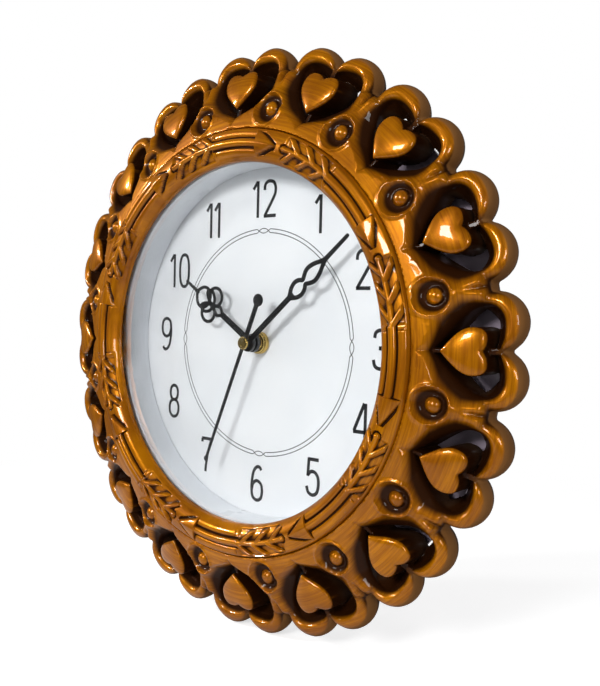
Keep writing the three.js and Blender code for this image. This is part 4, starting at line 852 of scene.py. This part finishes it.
def hour_strokes():
    diamond = [(0, 25.3), (2.6, 29.3), (1.2, 33.4), (0, 35.2)]
    side_lobe = [(5 + 5 * math.sin(a), 35.8 + 5 * math.cos(a)) for a in np.linspace(0, TAU, 40)]
    petal = [(0.8, 35.2), (4.0, 35.8), (6.3, 39.6), (4.4, 42.6), (1.0, 39.2)]
    tip_lobe = [(0.5, 38.0), (4.6, 40.2), (5.7, 43.4), (4.6, 46.4), (1.8, 48.6), (0, 49.4)]
    one_side = [side_lobe, smooth_through(petal, closed=True), smooth_through(tip_lobe), diamond]
    strokes = [[(0, 0, 4.8), (0.01, 0, 4.8)], [(0, 0, 1.85), (0, 25.8, 1.7)],
               [(0, 48.8, 1.0), (0, 59.6, 0.8)], [(0, 35.5, 1.3), (0, 35.6, 1.3)]]
    for sign in (1, -1):
        for line in one_side:
            strokes.append([(sign * u, v, 0.92) for u, v in line])
    return strokes


def minute_strokes():
    side = smooth_through([
        (0.7, 37.6, 1.3), (2.9, 40.6, 1.15), (3.75, 44.0, 1.15), (2.9, 46.9, 1.15), (1.4, 48.8, 1.1),
        (2.3, 50.6, 1.15), (3.6, 53.2, 1.15), (3.8, 55.8, 1.15), (2.9, 59.2, 1.15), (1.5, 62.2, 1.15),
        (0.2, 65.0, 1.3)])
    strokes = [[(0, 0, 4.5), (0.01, 0, 4.5)], [(0, 0, 1.65), (0, 38.4, 1.5)],
               [(0, 64.6, 1.3), (0, 82.5, 1.0)]]
    return strokes + [[(sign * u, v, w) for u, v, w in side] for sign in (1, -1)]


def second_strokes():
    return [[(0, 0, 2.5), (0.01, 0, 2.5)], [(0, 0, 1.15), (0, 69.5, 0.85)],
            [(0, 69, 1.45), (0, 69.01, 1.45)],
            [(0, 0, 1.4), (0, -21.5, 1.45)], [(0, -24.2, 3.3), (0, -24.21, 3.3)]]


def make_hand(name, node, body, strokes, degrees, hub, tube):
    """A flat hand with its hub (radius, length) behind and its tube (radius, length, bore) in
    front."""
    low, high = edges(node)
    face = high[1] - hub[1]
    c, s = math.cos(math.radians(degrees)), math.sin(math.radians(degrees))
    points = np.concatenate([np.array(stroke)[:, :2] for stroke in strokes])
    reach = points.min(0) - 8, points.max(0) + 8
    table = distance_to_strokes(strokes, *reach)

    def field(p):
        x, y, z = p.T
        u, v = x * c - z * s, x * s + z * c
        flat = np.abs(y - face + HAND_THICKNESS / 2) - HAND_THICKNESS / 2
        blade = smooth_max(table(u, v), flat, 0.22)
        radius = np.hypot(x, z)
        middle = (hub[1] - 0.1) / 2 - 0.1
        collar = smooth_max(radius - hub[0], np.abs(y - face - middle) - middle - 0.1, 0.4)
        sleeve = smooth_max(radius - tube[0], np.abs(y - face + HAND_THICKNESS) - tube[1], 0.2)
        solid = np.minimum(smooth_min(blade, collar, 0.25), sleeve)
        return np.maximum(solid, tube[2] - radius)

    u, v = points.T
    x, z = u * c + v * s, v * c - u * s
    hand = implicit(name, field, (x.min() - 5, low[1] - 0.2, z.min() - 5),
                    (x.max() + 5, high[1] + 0.2, z.max() + 5), 0.2, most=60000, adaptivity=0.01)
    place(hand, body, [node], "hand_black")


def make_hands():
    make_hand("hour_hand_shape", "hour_hand", "hour_tube", hour_strokes(), HOUR_TURN,
              (4.9, 1.9), (3.2, 0.4, 1.9))
    make_hand("minute_hand_shape", "minute_hand", "minute_tube", minute_strokes(), MINUTE_TURN,
              (4.6, 1.6), (2.4, 0.4, 0.8))
    make_hand("second_hand_shape", "second_hand", "second_arbor", second_strokes(), SECOND_TURN,
              (2.4, 1.2), (1.3, 0.4, -1))


# Brass at the dial's middle
def make_brass():
    low, high = edges("hand_cap")
    front, back, r = low[1], high[1], 3.3
    cap = lathe("cap_of_second_hand", filleted([
        (0, front), (r - 0.5, front, 0.1), (r - 0.25, front + 0.1, 0.1), (r, front + 0.35, 0.2),
        (r, back, 0.12), (0, back)], 0), 96)
    place(cap, "second_arbor", ["hand_cap"], "brass")
    low, high = edges("mounting_nut")
    front, back, r = low[1], high[1], 5.9
    knurls = 40

    def knurled(reach, y, angle):
        if reach < r - 0.15 or not front + 0.9 < y < back - 0.5:
            return reach
        return reach - 0.14 * (0.5 + 0.5 * math.cos(knurls * angle))

    nut = lathe("nut_on_bush", filleted([
        (4.15, front), (5.0, front, 0.2), (5.3, front + 0.7, 0.15), (r, front + 0.95, 0.2),
        (r, back - 0.4, 0.15), (r - 0.3, back, 0.1), (4.15, back)], 0), 240, radius_of=knurled)
    place(nut, "housing", ["mounting_nut"], "brass")
    low, high = edges("threaded_bush")
    profile = [(2.95, low[1]), (3.55, low[1])]
    pitch, crest, y = 0.75, 4.0, low[1] + 0.35
    end = edges("movement_case")[0][1]
    while y < end - 0.4:
        profile += [(crest, y), (crest, y + 0.12), (crest - 0.38, y + pitch / 2)]
        y += pitch
    profile += [(crest, end), (high[0], end), (high[0], high[1]), (2.95, high[1])]
    profile = [p for p in profile if p[0] <= high[0] + 1e-6]
    bush = lathe("thread_of_bush", profile, 96)
    place(bush, "housing", ["threaded_bush"], "brass")


# The dial's well and card
def make_well():
    low, high = edges("dial_well")
    inner = high[0] - 3
    well = lathe("well_round_dial", filleted([
        (inner, low[1]), (high[0], low[1]), (high[0], high[1]), (inner, high[1])], 0.5), 256)
    place(well, "housing", ["dial_well"], "white_plastic")
    low, high = edges("dial_plate")
    card = lathe("card_of_dial", filleted([
        (4.3, low[1]), (high[0], low[1], 0.4), (high[0], high[1], 0.4), (4.3, high[1])], 0.1), 256)
    place(card, "housing", ["dial_plate"], "dial_white")


def curve(*points):
    """A curved stroke of a digit."""
    return smooth_through(points, 6)


NINE = curve((-3.0, -7.4), (-1.6, -8.9), (0.4, -8.7), (2.6, -6.0), (3.7, -0.5), (3.75, 4.2), (2.9, 7.6),
             (0, 9.1), (-2.9, 7.6), (-3.75, 3.8), (-2.9, 0.2), (0, -1.4), (2.7, 0.2), (3.7, 3.4))


def ellipse(rx, rz, z=0.0, power=0.8, steps=48):
    """A closed rounded outline, squarer than an ellipse where power is below 1."""
    turn = np.linspace(0, TAU, steps + 1)
    c, s = np.cos(turn), np.sin(turn)
    return np.stack([rx * np.sign(c) * np.abs(c) ** power, z + rz * np.sign(s) * np.abs(s) ** power], 1)


DIGITS = {
    "0": [ellipse(3.75, 9.1)],
    "1": [[(-3.3, 5.4), (-0.25, 9.4)], [(0.1, 9.7), (0.1, -9.7)]],
    "2": [curve((-3.8, 4.6), (-3.5, 7.2), (-1.9, 8.9), (0.2, 9.15), (2.5, 8.4), (3.75, 6.2), (3.8, 3.8),
                (2.9, 1.0), (-3.6, -9.1)), [(-4.2, -9), (4.3, -9)]],
    "3": [curve((-3.5, 5.4), (-2.9, 7.9), (-0.8, 9.1), (1.6, 8.8), (3.4, 6.6), (3.3, 3.2), (1.6, 1.1),
                (-0.9, 0.6)),
          curve((-0.9, 0.6), (1.9, 0.1), (3.7, -2.6), (3.6, -6.2), (1.8, -8.7), (-0.7, -9.1),
                (-3.0, -7.9), (-3.9, -5.0))],
    "4": [[(1.7, 9.7), (-4.2, -3.9)], [(-4.7, -4.3), (4.6, -4.3)], [(2.4, 9.7), (2.4, -9.7)]],
    "5": [[(-2.9, 9), (3.7, 9)], [(-2.6, 9.7), (-3.2, 0.2)],
          curve((-3.3, 0.6), (-1.3, 2.6), (1.2, 2.6), (3.3, 0.4), (3.8, -3.4), (2.9, -7.4),
                (0.4, -9.1), (-2.6, -8.1), (-3.9, -4.9))],
    "6": [NINE * -1],
    "7": [[(-3.9, 9), (4.2, 9)], [(-3.5, 9), (-3.5, 6.9)],
          curve((3.7, 9), (1.4, 2), (-0.2, -5), (-0.7, -9.7))],
    "8": [ellipse(3.1, 4.2, 4.9, 0.9), ellipse(3.85, 4.9, -4.2, 0.9)],
    "9": [NINE],
}
HOURS = {
    "12": (0, 76), "1": (38, 66), "2": (65, 38), "3": (76, 0), "4": (66, -36), "5": (37, -66.5),
    "6": (-1, -75.5), "7": (-40, -65), "8": (-68, -37), "9": (-75.5, 2), "10": (-65, 39),
    "11": (-37.5, 66.5),
}
DIAL_TURN = math.radians(-1)
RING_RADIUS, LOOP_REACH, LOOP_WIDTH = 59.3, 3.2, 1.25  # of the double ring and its loops
NUMBER_HALF, RING_HALF = 0.92, 0.22  # half of the strokes' widths


def ribbon(points, half, closed=False):
    """Vertices and faces of a flat stroke of even width."""
    p = np.array(points, float)
    first, second = p - np.roll(p, 1, 0), np.roll(p, -1, 0) - p
    if not closed:
        first[0], second[-1] = second[0], first[-1]
    first /= np.linalg.norm(first, axis=1)[:, None]
    second /= np.linalg.norm(second, axis=1)[:, None]
    along = first + second
    along /= np.linalg.norm(along, axis=1)[:, None]
    side = np.stack([-along[:, 1], along[:, 0]], 1) * (half / (along * second).sum(1))[:, None]
    vertices = np.concatenate([p + side, p - side])
    count = len(p)
    steps = range(count if closed else count - 1)
    return vertices, [(i, i + count, (i + 1) % count + count, (i + 1) % count) for i in steps]


def print_dial():
    """Numbers and a double ring, as ink on the card."""
    strokes = []
    for text, (x, z) in HOURS.items():
        places = {"10": (-4.6, 3.9), "11": (-2.4, 3.9), "12": (-4.7, 3.9)}.get(text, (0,))
        for digit, shift in zip(text, places):
            for stroke in DIGITS[digit]:
                strokes.append((np.array(stroke) + (x + shift, z), NUMBER_HALF, False))
    turn = np.linspace(0, TAU, 2880, endpoint=False)
    quarter = TAU / 4
    off = np.abs((turn + quarter / 2) % quarter - quarter / 2) * RING_RADIUS
    loop = -LOOP_WIDTH * np.cos(np.minimum(off / LOOP_REACH, 1) * quarter) ** 0.8
    swing = np.where(off < LOOP_REACH, loop, ramp(off, LOOP_REACH, 1.5))
    for sign in (1, -1):
        r = RING_RADIUS + sign * swing
        strokes.append((np.stack([r * np.cos(turn), r * np.sin(turn)], 1), RING_HALF, True))
    vertices, faces = [], []
    c, s = math.cos(DIAL_TURN), math.sin(DIAL_TURN)
    for points, half, closed in strokes:
        flat, quads = ribbon(points, half, closed)
        start = len(vertices)
        vertices += [(x * c - z * s, DIAL_FRONT - 0.03, x * s + z * c) for x, z in flat]
        faces += [tuple(start + i for i in quad) for quad in quads]
    ink = new_object("print_on_dial", vertices, faces, smooth=False)
    place(ink, "housing", [], "dial_white", "ink")


def make_glass():
    low, high = edges("front_glass")
    glass = lathe("disc_of_glass", filleted([
        (0, low[1]), (high[0], low[1], 0.25), (high[0], high[1], 0.25), (0, high[1])], 0), 256)
    place(glass, "housing", ["front_glass"], "glass")


# The camera of the photograph
CAMERA_SPOT = (290.70, -340.77, 12.56)  # mm from the dial's axis and the wall
CAMERA_ANGLES = (39.55, 1.659, 0.592)  # azimuth, elevation and roll, in degrees
FOCAL_PIXELS, PICTURE_PIXELS = 812.089, 686
SENSOR = 36


def aim_camera():
    azimuth, elevation, roll = (math.radians(a) for a in CAMERA_ANGLES)
    back = Vector((math.sin(azimuth) * math.cos(elevation),
                   -math.cos(azimuth) * math.cos(elevation), math.sin(elevation)))
    right = Vector((math.cos(azimuth), math.sin(azimuth), 0))
    up = back.cross(right)
    right, up = (right * math.cos(roll) + up * math.sin(roll),
                 up * math.cos(roll) - right * math.sin(roll))
    data = bpy.data.cameras.new("camera")
    data.sensor_fit = "VERTICAL"
    data.sensor_height = SENSOR
    data.lens = SENSOR * FOCAL_PIXELS / PICTURE_PIXELS
    data.clip_start = 0.01
    camera = bpy.data.objects.new("camera", data)
    x, y, z = CAMERA_SPOT
    spot = Vector((x, y, z + AXIS_Z)) * MM
    camera.matrix_world = Matrix((
        (right.x, up.x, back.x, spot.x), (right.y, up.y, back.y, spot.y),
        (right.z, up.z, back.z, spot.z), (0, 0, 0, 1)))
    bpy.context.scene.collection.objects.link(camera)
    bpy.context.scene.camera = camera


def lamp(name, spot, size, power):
    """An area lamp at a spot in mm from the dial's axis, aimed at the axis by the wall."""
    data = bpy.data.lights.new(name, "AREA")
    data.shape = "RECTANGLE"
    data.size, data.size_y = (s * MM for s in size)
    data.energy = power
    obj = bpy.data.objects.new(name, data)
    bpy.context.scene.collection.objects.link(obj)
    here = Vector(spot) * MM
    obj.matrix_world = (Matrix.Translation(here + Vector((0, 0, AXIS_Z * MM)))
                        @ (-here).to_track_quat("-Z", "Y").to_matrix().to_4x4())


def light_studio():
    """Two bulbs at the upper left, which cast the hands' double shadow, and soft boxes."""
    lamp("bulb_high", (-700, -640, 400), (70, 70), 3.0)
    lamp("bulb_low", (-800, -520, 330), (70, 70), 2.7)
    lamp("front_box", (150, -1250, 450), (360, 260), 11.0)
    lamp("side_box", (950, -620, 120), (160, 300), 2.6)


def white_world():
    """Soft even light. The backdrop is white to the eye; glossy and clear surfaces see that
    white behind the clock, and the dim studio in front of it."""
    world = bpy.data.worlds.new("studio")
    bpy.context.scene.world = world
    world.use_nodes = True
    tree = Tree(world.node_tree)
    path = tree.node("ShaderNodeLightPath").outputs
    place = tree.node("ShaderNodeTexCoord").outputs["Generated"]
    depth = tree.node("ShaderNodeSeparateXYZ", {0: place}).outputs["Y"]

    def blend(value, low, high, start=0, end=1):
        return tree.node("ShaderNodeMapRange", {
            0: value, 1: start, 2: end, 3: low, 4: high}).outputs[0]

    backdrop = blend(depth, 0.05, 1.0, 0.6, 0.98)
    mirrored = blend(path["Is Glossy Ray"], 0.48, backdrop)
    through = blend(path["Is Transmission Ray"], mirrored, 1.0)
    background = tree.nodes["Background"].inputs
    background["Color"].default_value = (1, 1, 1, 1)
    tree.feed(background["Strength"], blend(path["Is Camera Ray"], through, 1.0))


def lay_floor():
    low = cad_bounds[0][2] - 0.0012
    half = 1.5
    corners = [(-half, -half, low), (half, -half, low), (half, half, low), (-half, half, low)]
    floor = new_object("floor", corners, [(0, 1, 2, 3)])
    paint = Paint("pale_floor")
    cloud = paint.noise(3.0, detail=2)
    paint.set(Base_Color=paint.mix(cloud, (0.62, 0.62, 0.62, 1), (0.66, 0.66, 0.66, 1)), Roughness=0.9)
    path = paint.node("ShaderNodeLightPath").outputs
    away = paint.node("ShaderNodeVectorMath", {0: paint.place()}, operation="LENGTH").outputs["Value"]
    paint.set(Emission_Color=(1, 1, 1, 1),
              Emission_Strength=paint.math("MULTIPLY", path["Is Camera Ray"], 0.62))
    white = paint.node("ShaderNodeEmission", {"Color": (1, 1, 1, 1), "Strength": 1.0}).outputs[0]
    open_air = paint.node("ShaderNodeBsdfTransparent").outputs[0]
    beyond = paint.node("ShaderNodeMixShader", {0: path["Is Camera Ray"], 1: open_air, 2: white})
    edge = paint.node("ShaderNodeMixShader", {
        0: paint.ramp(away, 0.28, 0.6), 1: paint.shader.outputs[0], 2: beyond.outputs[0]})
    paint.links.new(edge.outputs[0], paint.output.inputs["Surface"])
    floor.data.materials.append(paint.material)


def main():
    bpy.context.scene.view_settings.view_transform = "Standard"
    aim_camera()
    dress_frame()
    make_rim()
    make_bezel()
    make_hands()
    make_brass()
    make_well()
    print_dial()
    make_glass()
    light_studio()
    white_world()
    lay_floor()


main()
